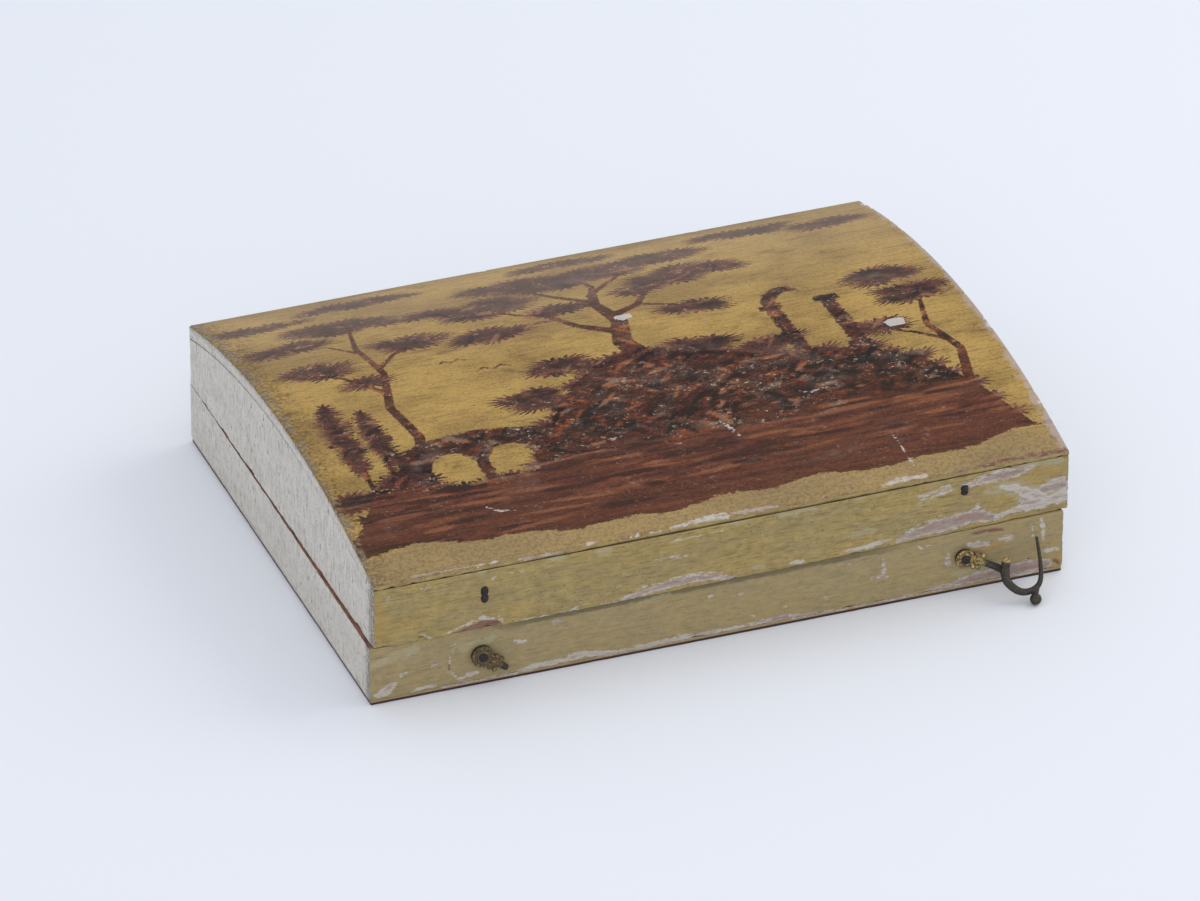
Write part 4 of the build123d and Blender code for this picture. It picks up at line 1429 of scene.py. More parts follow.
# --------------------------------------------------------------------- finishes
@dataclass(frozen=True)
class TopFinish:
    """Varnished ochre with a dark red-brown landscape, rubbed and flaked, and a painted sheen that pales it
    towards the back.
    """

    ochre: Colour = tint(190, 156, 88)
    dull_ochre: Colour = tint(166, 135, 78)
    grime: Colour = tint(84, 60, 38)
    dust: Colour = tint(168, 158, 142)
    worn: Colour = tint(124, 108, 84)
    edge_dust: Colour = tint(148, 138, 114)
    sill_tone: Colour = tint(158, 138, 102)
    # Colour of the painted sheen towards the back of the dome.
    painted_sheen: Colour = tint(176, 160, 142)
    gesso: Colour = tint(208, 200, 192)
    lilac: Colour = tint(184, 168, 160)
    chalk: Colour = tint(160, 142, 122)
    bare: Colour = tint(116, 74, 60)
    fleck: Colour = tint(206, 186, 156)
    crack_size: Point = (1.9, 1.3, 1.6)
    crack_seed: float = 5.0
    crack_width: float = 0.09
    shades: tuple[tuple[float, Colour], ...] = (
        (0.38, tint(36, 25, 24)),
        (0.46, tint(62, 36, 31)),
        (0.54, tint(92, 48, 36)),
        (0.62, tint(120, 64, 42)),
        (0.73, tint(150, 96, 60)),
    )
    cool_shades: tuple[tuple[float, Colour], ...] = (
        (0.38, tint(30, 26, 27)),
        (0.48, tint(54, 43, 41)),
        (0.58, tint(82, 64, 58)),
        (0.72, tint(124, 102, 86)),
    )
    leaf_shades: tuple[tuple[float, Colour], ...] = (
        (0.36, tint(44, 32, 33)),
        (0.47, tint(72, 47, 44)),
        (0.58, tint(104, 62, 50)),
        (0.72, tint(136, 98, 76)),
    )
    front_shades: tuple[tuple[float, Colour], ...] = (
        (0.38, tint(62, 38, 33)),
        (0.47, tint(88, 50, 40)),
        (0.56, tint(108, 62, 45)),
        (0.70, tint(134, 84, 58)),
    )

    def ground(self, paint: Paint) -> Signal:
        """The ochre ground with brush streaks, grime and fine cracks.

        Args:
            paint: The material.

        Returns:
            Its colour.
        """
        cloud = paint.grain((52.0, 34.0, 34.0), detail=4.0, seed=3.0)
        smudge = paint.grain((16.0, 9.0, 9.0), detail=5.0, rough=0.6, seed=23.0)
        streak = paint.grain((15.0, 1.1, 5.0), detail=6.0, rough=0.68, seed=11.0)
        specks = paint.grain((1.7, 0.9, 1.2), detail=4.0, rough=0.75, seed=2.0)
        cracks = paint.cells(self.crack_size, self.crack_seed).step(self.crack_width, 0.0)
        colour = paint.blend(cloud.step(0.38, 0.62), self.ochre, self.dull_ochre)
        colour = paint.blend(smudge.step(0.54, 0.78) * 0.55, colour, self.grime)
        colour = paint.blend(streak.step(0.48, 0.72) * 0.60, colour, self.grime)
        colour = paint.blend(specks.step(0.50, 0.66) * 0.46, colour, self.grime)
        return paint.blend(cracks * cloud.step(0.25, 0.6) * 0.4, colour, self.grime)

    def picture(self, paint: Paint) -> tuple[Signal, Signal, Signal, Signal]:
        """The masks of the landscape.

        Args:
            paint: The material.

        Returns:
            Masks of the land, of the leaves, of the trunks and of the bushes.
        """
        brush = paint.grain((7.0, 2.6, 3.0), detail=5.0, rough=0.6, twist=0.4, seed=21.0) - 0.5
        fine = paint.grain((1.6, 0.8, 1.0), detail=3.0, rough=0.6, seed=8.0) - 0.5
        land = (paint.mark("land") + brush * 5.0 + fine * 2.6).step(0.4, -0.4)
        feathers = []
        for gap, run, reach in (("leaf_gap", "leaf_run", 2.8), ("bush_gap", "bush_run", 1.8)):
            around = paint.mark(run) + fine * 2.4
            spikes = paint.node("ShaderNodeMath", {"operation": "PINGPONG"}, {0: around, 1: 1.25})
            edge = paint.mark(gap) + spikes * 2.8 + brush * 2.2 + fine * 1.2 - reach
            feathers.append(edge.step(0.2, -0.2))
        trunks = (paint.mark("trunk") + fine * 1.8).step(0.3, -0.3)
        return land, feathers[0], trunks, feathers[1]

    def rim_losses(self, paint: Paint, colour: Signal, rag: Signal) -> Signal:
        """The chips along the front edge over a colour.

        Args:
            paint: The material.
            colour: The colour below them.
            rag: Noise that makes their outlines ragged.

        Returns:
            The colour with the chips.
        """
        mottle = paint.grain((3.0, 2.0, 1.2), detail=5.0, rough=0.7, seed=53.0)
        for kind, shade in ((Loss.LILAC, self.lilac), (Loss.GESSO, self.gesso), (Loss.WOOD, self.bare)):
            shaded = paint.blend(mottle.step(0.4, 0.66) * 0.75, shade, self.chalk)
            gap = paint.mark(kind.mark) + (rag - 0.5) * 4.4 + (mottle - 0.5) * 2.4
            colour = paint.blend(gap.step(0.3, -0.3) * 0.85, colour, shaded)
        return colour

    def material(self) -> bpy.types.Material:
        """Make the material.

        Returns:
            The material.
        """
        paint = Paint("varnished_top")
        land, leaves, trunks, bushes = self.picture(paint)
        x, y, _ = paint.axes(paint.place())
        hatch = paint.grain((3.0, 1.3, 2.0), detail=6.0, rough=0.72, twist=1.6, seed=4.0)
        mass = paint.grain((13.0, 8.0, 8.0), detail=5.0, rough=0.62, twist=0.8, seed=14.0)
        flow = paint.grain((30.0, 2.4, 8.0), detail=6.0, rough=0.66, twist=0.5, seed=24.0)
        tone = hatch * 0.85 + mass * 0.5 + paint.mark("tone") * 0.32 - 0.19
        tufts = paint.mark("bush_gap").step(-3.5, 0.5) * 0.24 + tone - 0.16
        cool = (paint.mark("cool") + (mass - 0.5) * 2.6).step(-0.1, 0.5)
        dark = paint.blend(cool * 0.8, paint.ramp(tone, self.shades), paint.ramp(tone, self.cool_shades))
        bushy = paint.blend(cool, paint.ramp(tufts, self.shades), paint.ramp(tufts, self.cool_shades))
        dark = paint.blend(bushes * 0.9, dark, bushy)
        front = (y + (mass - 0.5) * 40.0).step(-62.0, -70.0)
        glaze = paint.ramp(flow * 0.5 + hatch * 0.6 + paint.mark("tone") * 0.22 - 0.05, self.front_shades)
        dark = paint.blend(front * 0.85, dark, glaze)
        leafy = paint.ramp(tone + paint.mark("leaf_gap").step(-4.0, 0.0) * 0.1 - 0.04, self.leaf_shades)
        colour = self.ground(paint)
        thin = paint.grain((9.0, 2.6, 4.0), detail=5.0, rough=0.65, seed=17.0)
        colour = paint.blend(leaves * thin.step(0.84, 0.60) * 0.97, colour, leafy)
        bark = paint.ramp(tone + 0.04, self.shades)
        colour = paint.blend(trunks * thin.step(0.86, 0.60) * 0.95, colour, bark)
        colour = paint.blend(land * thin.step(0.84, 0.64) * 0.97, colour, dark)
        painted = land.most(leaves * 0.8).most(trunks)
        flecks = paint.grain((2.4, 1.3, 1.3), detail=4.0, rough=0.66, seed=33.0).step(0.59, 0.64)
        scratch = paint.grain((0.7, 5.0, 1.0), detail=3.0, rough=0.6, seed=37.0, turn=0.7).step(0.66, 0.70)
        hurt = flecks.most(scratch) * mass.step(0.47, 0.60) * painted * (front * -0.75 + 1.0)
        colour = paint.blend(hurt * 0.75, colour, self.fleck)
        rub = paint.grain((5.0, 7.0, 5.0), detail=6.0, rough=0.7, seed=41.0)
        film = paint.grain((30.0, 16.0, 16.0), detail=5.0, rough=0.6, seed=47.0)
        spots = paint.grain((1.6, 1.6, 1.2), detail=5.0, rough=0.7, seed=61.0)
        colour = paint.blend(film.step(0.56, 0.74) * painted * 0.16, colour, self.dust)
        # Painted sheen: the colour pales towards the back of the dome, standing in for varnish catching the
        # light at a grazing angle.
        colour = paint.blend((y + (film - 0.5) * 60.0).step(0.0, 114.0) * 0.22, colour, self.painted_sheen)
        left = (x + (rub - 0.5) * 14.0).step(-154.5, -157.0)
        dirt = (x + (rub - 0.5) * 34.0).step(-142.0, -156.0) * spots.step(0.40, 0.60)
        back = (y + (rub - 0.5) * 22.0).step(110.0, 120.0)
        right = (x + (rub - 0.5) * 14.0).step(157.5, 160.5)
        sill = (y + (rub - 0.5) * 26.0).step(-96.0, -110.0)
        colour = paint.blend(sill * (painted * -1.0 + 1.0) * 0.6, colour, self.sill_tone)
        colour = paint.blend((dirt * 0.62).most(sill * spots.step(0.46, 0.6) * 0.34), colour, self.grime)
        dusty = paint.blend(spots.step(0.40, 0.54), self.edge_dust, self.worn)
        colour = paint.blend(left * rub.step(0.62, 0.46) * 0.85, colour, dusty)
        colour = paint.blend(back * 0.3, colour, self.worn)
        colour = paint.blend(right * 0.7, colour, self.lilac)
        chip = (paint.mark("chip") + (rub - 0.5) * 0.5).step(0.42, 0.6)
        colour = paint.blend(chip * 0.85, colour, paint.blend(left, self.gesso, self.edge_dust))
        colour = self.rim_losses(paint, colour, thin)
        between_cracks = paint.cells(self.crack_size, self.crack_seed).step(0.0, self.crack_width)
        height = hatch * 0.4 + between_cracks * 0.3 + (1.0 - chip) * 0.5
        return paint.finish(
            {
                "Base Color": colour,
                "Roughness": 0.46 + rub * 0.18 + chip * 0.3,
                "Normal": paint.bump(height, 0.12),
                "Specular IOR Level": 0.1,
            }
        )


@dataclass(frozen=True)
class WallFinish:
    """Paint of the outside walls: a colour, its streaks, its losses and a painted shadow under the lid's
    edge.
    """

    name: str
    colour: Colour
    second: Colour
    streaks: Colour
    grain: Point
    streak_strength: float
    speck: Point
    speck_strength: float
    stray: float
    losses: bool = False
    mottling: float = 0.0
    corner_grime: float = 0.0
    end_lines: float = 0.0
    low_tone: Colour = tint(140, 124, 74)
    high_tone: Colour = tint(190, 164, 102)
    grime: Colour = tint(88, 78, 68)
    gesso: Colour = tint(194, 188, 180)
    lilac: Colour = tint(164, 146, 140)
    lilac_dark: Colour = tint(134, 110, 100)
    scuff: Colour = tint(168, 163, 138)
    amber: Colour = tint(180, 132, 60)
    wood: Colour = tint(122, 76, 64)
    pink: Colour = tint(160, 118, 106)
    white: Colour = tint(204, 198, 190)
    # Colour of the painted shadow under the lid's overhang.
    painted_seam_shadow: Colour = tint(92, 84, 62)
    case_tone: Colour = tint(156, 142, 112)
    dark: Colour = tint(36, 30, 28)
    line: Colour = tint(62, 50, 44)
    crown_grime: Colour = tint(112, 106, 90)
    foot: Colour = tint(150, 118, 92)
    bottom_edge: Colour = tint(60, 36, 36)
    bottom_edge_height: float = 1.25

    def material(self) -> bpy.types.Material:
        """Make the material.

        Returns:
            The material.
        """
        paint = Paint(self.name)
        cloud = paint.grain((30.0, 30.0, 9.0), detail=6.0, rough=0.62, seed=2.0)
        streak = paint.grain(self.grain, detail=7.0, rough=0.72, seed=6.0)
        specks = paint.grain(self.speck, detail=4.0, rough=0.65, seed=9.0)
        dots = paint.grain((1.1, 1.1, 0.9), detail=3.0, rough=0.6, seed=29.0)
        patch = paint.grain((4.4, 4.4, 2.8), detail=5.0, rough=0.6, seed=83.0)
        colour = paint.blend(cloud.step(0.34, 0.66) * 0.8, self.colour, self.second)
        colour = paint.blend(patch.step(0.50, 0.66) * self.mottling, colour, self.low_tone)
        colour = paint.blend(patch.step(0.50, 0.34) * self.mottling * 0.6, colour, self.high_tone)
        colour = paint.blend(streak.step(0.46, 0.70) * self.streak_strength, colour, self.streaks)
        colour = paint.blend(specks.step(0.60, 0.68) * self.speck_strength, colour, self.streaks)
        colour = paint.blend(dots.step(0.62, 0.70) * self.speck_strength * 0.7, colour, self.streaks)
        _, y, z = paint.axes(paint.place())
        rag = paint.grain((5.0, 5.0, 1.8), detail=6.0, rough=0.66, twist=0.5, seed=13.0)
        stray = paint.grain((2.6, 2.6, 1.3), detail=5.0, rough=0.66, seed=19.0)
        pale = stray.step(self.stray, self.stray + 0.05)
        colour = paint.blend(pale * 0.65, colour, self.gesso)
        foot = (z + (rag - 0.5) * 3.0).step(2.6, 1.4)
        colour = paint.blend(foot * 0.55, colour, self.foot)
        corner = (y + (rag - 0.5) * 9.0).step(-112.0, -118.5) * dots.most(specks).step(0.40, 0.54)
        colour = paint.blend(corner * self.corner_grime, colour, self.grime)
        colour = self.lined(paint, colour, rag, dots.most(specks))
        height = streak * 0.5 + (1.0 - pale) * 0.4
        if self.losses:
            colour, height = self.worn(paint, colour, height, rag, streak)
        low_edge = z.step(self.bottom_edge_height + 0.25, self.bottom_edge_height - 0.25)
        colour = paint.blend(low_edge, colour, self.bottom_edge)
        return paint.finish(
            {
                "Base Color": colour,
                "Roughness": 0.55 + streak * 0.2,
                "Normal": paint.bump(height, 0.14),
                "Specular IOR Level": 0.35,
            }
        )

    def lined(self, paint: Paint, colour: Signal, rag: Signal, dots: Signal) -> Signal:
        """Dirt in the saw cut and in the crown's joint, and grime under the crown's edge, on an end wall.

        Args:
            paint: The material.
            colour: The colour of the paint.
            rag: Noise that makes the outlines ragged.
            dots: Noise that breaks the grime up.

        Returns:
            The colour with them.
        """
        if not self.end_lines:
            return colour
        x, y, z = paint.axes(paint.place())
        across = y - x * math.sin(SHAPE.lid_skew)
        radius = SHAPE.dome_radius()
        up = z + (radius - SHAPE.crown)
        under = (across * across + up * up) ** 0.5 * -1.0 + radius
        border = (under + (rag - 0.5) * 6.0).step(3.4, 0.4) * dots.step(0.44, 0.60)
        colour = paint.blend(border * self.end_lines * 0.75, colour, self.crown_grime)
        joint = abs(under - SHAPE.top_thickness).step(0.34, 0.12) * across.step(-45.0, 5.0)
        colour = paint.blend(joint * self.end_lines * 0.8, colour, self.line)
        cut = abs(z - x * SHAPE.seam_slope_x - y * SHAPE.seam_slope_y - SHAPE.seam_middle).step(0.50, 0.25)
        return paint.blend(cut * self.end_lines * 0.8, colour, self.line)

    def worn(
        self, paint: Paint, colour: Signal, height: Signal, rag: Signal, streak: Signal
    ) -> tuple[Signal, Signal]:
        """The painted shadow under the lid's overhang, then the losses over the paint.

        Args:
            paint: The material.
            colour: The colour of the paint.
            height: Its height.
            rag: Noise that makes the outlines ragged.
            streak: The paint's streaks, which show through.

        Returns:
            The colour and the height with the losses.
        """
        mottle = paint.grain((4.0, 4.0, 1.2), detail=6.0, rough=0.72, seed=27.0)
        blush = paint.grain((7.0, 7.0, 3.0), detail=4.0, rough=0.6, seed=67.0)
        nick = paint.grain((1.6, 1.6, 0.9), detail=5.0, rough=0.7, seed=71.0)
        x, _, z = paint.axes(paint.place())
        under = x * SHAPE.seam_slope_x - z + (SHAPE.seam_middle - SHAPE.seam_slope_y * SHAPE.half_depth)
        # Painted shadow: a darker band just under the saw cut in the middle of the front, where the bowed lid
        # overhangs the case.
        shade = (under + (rag - 0.5) * 4.0).step(3.8, 2.2) * under.step(-0.1, 0.1)
        shade = shade * abs(x + 10.0).step(110.0, 70.0)
        colour = paint.blend(under.step(0.0, 0.4) * 0.4, colour, self.case_tone)
        colour = paint.blend(shade * 0.7, colour, self.painted_seam_shadow)
        looks = (
            (Loss.SCUFF, self.scuff, self.colour, 6.0, 0.7, 0.7),
            (Loss.AMBER, self.amber, self.colour, 7.0, 2.4, 0.5),
            (Loss.LILAC, self.lilac, self.lilac_dark, 5.0, 0.3, 0.9),
            (Loss.GESSO, self.gesso, self.lilac, 4.8, 0.35, 0.82),
            (Loss.WOOD, self.wood, self.lilac_dark, 2.4, 0.3, 0.9),
            (Loss.DARK, self.dark, self.dark, 0.8, 0.2, 0.95),
        )
        for kind, shade, second, raggedness, softness, share in looks:
            gap = paint.mark(kind.mark) + (rag - 0.5) * raggedness + (nick - 0.5) * raggedness * 0.45
            mask = gap.step(softness, -softness) * share
            shaded = paint.blend(mottle.step(0.40, 0.62) * 0.75, shade, second)
            if kind in (Loss.LILAC, Loss.GESSO):
                shaded = paint.blend(blush.step(0.52, 0.66) * 0.6, shaded, self.pink)
                outline = gap.step(-1.6, -0.2) * mottle.step(0.42, 0.55)
                shaded = paint.blend(outline * 0.85, shaded, self.white)
                shaded = paint.blend(nick.step(0.60, 0.68) * 0.7, shaded, colour)
            shaded = paint.blend(streak.step(0.5, 0.72) * 0.35, shaded, self.streaks)
            colour = paint.blend(mask, colour, shaded)
            height = height - mask * 0.4 + mask * mottle * 0.4
        return colour, height


@dataclass(frozen=True)
class WoodFinish:
    """Bare or thinly washed wood."""

    name: str
    pale: Colour
    dark: Colour
    grain: Point

    def material(self) -> bpy.types.Material:
        """Make the material.

        Returns:
            The material.
        """
        paint = Paint(self.name)
        fibres = paint.grain(self.grain, detail=7.0, rough=0.66, twist=0.3, seed=1.0)
        stain = paint.grain((40.0, 40.0, 30.0), detail=4.0, seed=7.0)
        colour = paint.blend(fibres.step(0.36, 0.68), self.pale, self.dark)
        colour = paint.blend(stain.step(0.5, 0.75) * 0.5, colour, self.dark)
        return paint.finish(
            {"Base Color": colour, "Roughness": 0.7 + fibres * 0.15, "Normal": paint.bump(fibres, 0.15)}
        )


@dataclass(frozen=True)
class MetalFinish:
    """Old dark metal, rusty and bright in patches, or bright and bronze where it is marked as gilded."""

    name: str
    dark: Colour
    bright: Colour
    metallic: float
    marked: bool
    rust: Colour = tint(96, 76, 58)
    bronze: Colour = tint(120, 103, 72)
    fleck: Colour = tint(122, 116, 92)

    def material(self) -> bpy.types.Material:
        """Make the material.

        Returns:
            The material.
        """
        paint = Paint(self.name)
        patina = paint.grain((1.3, 1.3, 1.3), detail=5.0, rough=0.62, seed=3.0)
        rust = paint.grain((0.9, 0.9, 0.9), detail=4.0, rough=0.7, seed=12.0).step(0.54, 0.64)
        share = patina.step(0.45, 0.7)
        colour = paint.blend(rust * 0.55, self.dark, self.rust)
        if self.marked:
            fleck = paint.grain((0.7, 0.7, 0.7), detail=4.0, rough=0.7, seed=33.0).step(0.56, 0.64)
            colour = paint.blend(fleck * 0.6, colour, self.fleck)
            gilt = paint.mark("gilt")
            colour = paint.blend((gilt + (patina - 0.5) * 0.6).step(0.18, 0.46) * 0.8, colour, self.bronze)
            share = (gilt + (patina - 0.5) * 1.7).step(0.50, 0.80)
        colour = paint.blend(share, colour, self.bright)
        return paint.finish(
            {
                "Base Color": colour,
                "Metallic": self.metallic - rust * 0.3,
                "Roughness": 0.50 - share * 0.14 + patina * 0.14 + rust * 0.1,
                "Normal": paint.bump(patina - rust * 0.3, 0.08),
            }
        )


# ------------------------------------------------------------------- the hooks
def smooth_line(points: Sequence[Point], per_run: int) -> list[Vector]:
    """A smooth line through points.

    Args:
        points: The points.
        per_run: Places between each two of them.

    Returns:
        Places along the line.
    """
    given = [Vector(point) for point in points]
    padded = [given[0] * 2 - given[1]] + given + [given[-1] * 2 - given[-2]]
    line = []
    for index in range(1, len(padded) - 2):
        before, start, end, after = padded[index - 1 : index + 3]
        for step in range(per_run):
            share = step / per_run
            line.append(
                0.5
                * (
                    2 * start
                    + (end - before) * share
                    + (2 * before - 5 * start + 4 * end - after) * share**2
                    + (3 * start - before - 3 * end + after) * share**3
                )
            )
    line.append(given[-1])
    return line


def add_rod(mesh: bmesh.types.BMesh, line: Sequence[Vector], radii: Sequence[float], sides: int = 16) -> None:
    """Add a round rod that follows a line.

    Args:
        mesh: The mesh that it is added to.
        line: Places along its middle.
        radii: Its radius at each place.
        sides: Faces around it.
    """
    facing = Vector((0, 0, 1)).rotation_difference(line[1] - line[0]).to_matrix().to_4x4()
    ring = bmesh.ops.create_circle(mesh, cap_ends=True, segments=sides, radius=1.0)["verts"]
    edges = list({edge for vertex in ring for edge in vertex.link_edges})
    current = Matrix.Translation(line[0]) @ facing @ Matrix.Scale(radii[0], 4)
    bmesh.ops.transform(mesh, matrix=current, verts=ring)
    for index in range(1, len(line)):
        heading = line[min(index + 1, len(line) - 1)] - line[index - 1]
        now = facing.to_3x3() @ Vector((0, 0, 1))
        facing = now.rotation_difference(heading).to_matrix().to_4x4() @ facing
        grown = bmesh.ops.extrude_edge_only(mesh, edges=edges)["geom"]
        ring = [item for item in grown if isinstance(item, bmesh.types.BMVert)]
        edges = [item for item in grown if isinstance(item, bmesh.types.BMEdge) and item.is_boundary]
        following = Matrix.Translation(line[index]) @ facing @ Matrix.Scale(radii[index], 4)
        bmesh.ops.transform(mesh, matrix=following @ current.inverted(), verts=ring)
        current = following
    bmesh.ops.holes_fill(mesh, edges=edges, sides=0)


def fused(mesh: bmesh.types.BMesh, voxel: float) -> bmesh.types.BMesh:
    """One closed skin around everything in a mesh.

    Args:
        mesh: Closed shapes that may run into each other, in millimetres.
        voxel: Size of the skin's cells.

    Returns:
        The skin.
    """
    data = bpy.data.meshes.new("casting")
    mesh.to_mesh(data)
    mesh.free()
    rough = bpy.data.objects.new("casting", data)
    bpy.context.scene.collection.objects.link(rough)
    remesh = rough.modifiers.new("skin", "REMESH")
    remesh.mode = "VOXEL"
    remesh.voxel_size = voxel
    soften = rough.modifiers.new("soften", "SMOOTH")
    soften.factor = 0.5
    soften.iterations = 2
    bpy.context.view_layer.update()
    evaluated = rough.evaluated_get(bpy.context.evaluated_depsgraph_get())
    skin = bmesh.new()
    skin.from_mesh(evaluated.to_mesh())
    bpy.data.objects.remove(rough)
    return skin


@dataclass(frozen=True)
class SwivelHook:
    """One cast hook on its pin, whole or broken off behind its collar."""

    name: str
    body: str
    pin: str
    lean: float
    whole: bool
    ring_radius: float = 4.2
    bore: float = 1.62
    half_thickness: float = 1.3
    clearance: float = 0.4
    bead: float = 0.72
    beads: int = 14
    collar_turn: float = math.radians(-27.0)
    collar_length: float = 5.0
    collar_width: float = 8.2
    finger_lean: float = math.radians(52.0)
    finger_offset: float = 0.6
    finger: tuple[tuple[float, float], ...] = (
        (15.0, 11.0), (14.3, 16.0), (17.6, 21.4), (22.6, 22.8), (28.0, 20.2), (31.4, 12.0), (34.1, -0.1),
    )
    fork: tuple[float, float] = (25.3, 22.3)
    ball: tuple[float, float] = (23.5, 27.0)
    arm: tuple[Point, ...] = ((7.2, -3.8, 0.1), (12.4, -6.3, 3.0))
    leaf: Point = (17.4, -1.6, 5.4)
    root_radius: float = 2.1
    tip_radius: float = 0.65
    ball_radius: float = 2.6
    stub: float = 6.4
    voxel: float = 0.2

    def on_finger(self, point: tuple[float, float]) -> Vector:
        """A point of the leaning finger's plane in the hook's frame."""
        along, down = point
        forward = down * math.sin(self.finger_lean) - self.finger_offset
        return Vector((along, -down * math.cos(self.finger_lean), forward))

    def frame(self) -> Matrix:
        """The hook's frame: x along it, y up, z out of the front, on its pin."""
        low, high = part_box(self.pin)
        middle = (low + high) / 2 / MM
        out = -SHAPE.half_depth - self.clearance - self.half_thickness
        along = Vector((math.cos(self.lean), 0, math.sin(self.lean)))
        forward = Vector((0, -1, 0))
        up = forward.cross(along)
        columns = Matrix((along, up, forward)).transposed().to_4x4()
        return Matrix.Translation((middle.x, out, middle.z)) @ columns

    def add_ring(self, mesh: bmesh.types.BMesh) -> None:
        """Add the beaded ring around the pin.

        Args:
            mesh: The mesh that it is added to.
        """
        half = self.half_thickness
        profile = (
            (self.bore, -half), (self.ring_radius, -half), (self.ring_radius, half * 0.3),
            (self.ring_radius - self.bead, half * 0.5), (2.9, half * 0.35), (2.5, half), (self.bore, half),
        )
        vertices = [mesh.verts.new((radius, 0, height)) for radius, height in profile]
        edges = [mesh.edges.new(pair) for pair in zip(vertices, vertices[1:] + vertices[:1])]
        bmesh.ops.spin(
            mesh,
            geom=vertices + edges,
            cent=(0, 0, 0),
            axis=(0, 0, 1),
            angle=2 * math.pi,
            steps=48,
            use_merge=True,
        )
        for index in range(self.beads):
            turn = Matrix.Rotation(2 * math.pi * index / self.beads, 4, "Z")
            place = turn @ Matrix.Translation((self.ring_radius - self.bead * 0.55, 0, half * 0.45))
            bmesh.ops.create_icosphere(mesh, subdivisions=2, radius=self.bead, matrix=place)

    def add_collar(self, mesh: bmesh.types.BMesh) -> None:
        """Add the beaded collar beside the ring.

        Args:
            mesh: The mesh that it is added to.
        """
        turn = Matrix.Rotation(self.collar_turn, 4, "Z")
        centre = self.ring_radius + self.collar_length / 2 - 0.4
        place = turn @ Matrix.Translation((centre, 0, 0))
        size = Matrix.Diagonal((self.collar_length * 0.9, self.collar_width * 0.82, 2.0, 1.0))
        plate = bmesh.ops.create_cube(mesh, size=1.0, matrix=place @ size)["verts"]
        edges = list({edge for vertex in plate for edge in vertex.link_edges})
        bmesh.ops.bevel(mesh, geom=edges, offset=0.7, segments=3, profile=0.5, affect="EDGES", material=-1)
        for along in (-0.27, 0.27):
            for across in (-0.36, 0.0, 0.36):
                bead = Matrix.Translation((self.collar_length * along, self.collar_width * across, 0.7))
                bmesh.ops.create_icosphere(mesh, subdivisions=2, radius=1.2, matrix=place @ bead)

    def add_finger(self, mesh: bmesh.types.BMesh) -> None:
        """Add the arm, the curved finger, its ball and its leaf.

        Args:
            mesh: The mesh that they are added to.
        """
        root = self.on_finger(self.finger[0])
        arm = smooth_line([*self.arm, tuple(root)], 6)
        add_rod(mesh, arm, [1.45 + 0.35 * index / len(arm) for index in range(len(arm))])
        line = smooth_line([tuple(self.on_finger(point)) for point in self.finger], 9)
        radii = []
        for index in range(len(line)):
            share = index / (len(line) - 1)
            radii.append(self.root_radius + (self.tip_radius - self.root_radius) * share**1.15)
        add_rod(mesh, line, radii)
        bmesh.ops.create_icosphere(
            mesh, subdivisions=3, radius=self.root_radius * 1.05, matrix=Matrix.Translation(root)
        )
        fork, ball = self.on_finger(self.fork), self.on_finger(self.ball)
        add_rod(mesh, [fork, fork.lerp(ball, 0.5), ball], [1.7, 1.25, 1.4])
        bmesh.ops.create_icosphere(
            mesh, subdivisions=3, radius=self.ball_radius, matrix=Matrix.Translation(ball)
        )
        tip = Vector(self.leaf)
        spine = [root.lerp(tip, share) for share in (0.0, 0.2, 0.5, 0.75, 0.92, 1.0)]
        add_rod(mesh, spine, [1.3, 1.8, 2.1, 1.95, 1.35, 0.6])

    def add_stub(self, mesh: bmesh.types.BMesh) -> None:
        """Add what is left of a broken arm.

        Args:
            mesh: The mesh that it is added to.
        """
        turn = Matrix.Rotation(self.collar_turn, 4, "Z")
        start = self.ring_radius + self.collar_length / 2
        line = [turn @ Vector((start + self.stub * share, 0, 0)) for share in (0.0, 0.4, 0.75, 0.9, 1.0)]
        add_rod(mesh, line, [1.4, 1.35, 1.5, 1.55, 1.1], sides=9)

    def build(self, metal: bpy.types.Material) -> bpy.types.Object:
        """Make the hook.

        Args:
            metal: Its material.

        Returns:
            Its object.
        """
        mesh = bmesh.new()
        self.add_ring(mesh)
        self.add_collar(mesh)
        if self.whole:
            self.add_finger(mesh)
        else:
            self.add_stub(mesh)
        bmesh.ops.recalc_face_normals(mesh, faces=mesh.faces)
        skin = fused(mesh, self.voxel)
        local = corners_of(skin)
        gilt = self.gilding(local)
        bmesh.ops.transform(skin, matrix=self.frame(), verts=skin.verts)
        piece = Piece(f"{self.name}_casting", self.body, "hook_brass", (self.name,))
        return piece.put(skin, None, [metal], {"gilt": gilt})

    def gilding(self, local: np.ndarray) -> np.ndarray:
        """How much gilding is left at each place.

        Args:
            local: Places in the hook's frame.

        Returns:
            Values from 0 to 1.
        """
        radius = np.hypot(local[:, 0], local[:, 1])
        reach = self.ring_radius + self.collar_length + 0.5
        rim = smooth_step(1.7, 2.2, radius) * (radius < reach) * (local[:, 2] > 0.2)
        leaf = smooth_step(5.0, 2.0, np.linalg.norm(local - np.array(self.leaf), axis=1))
        keep = 0.62 if self.whole else 0.4
        return np.clip(rim * keep + leaf * 0.7 * self.whole, 0.0, 1.0)


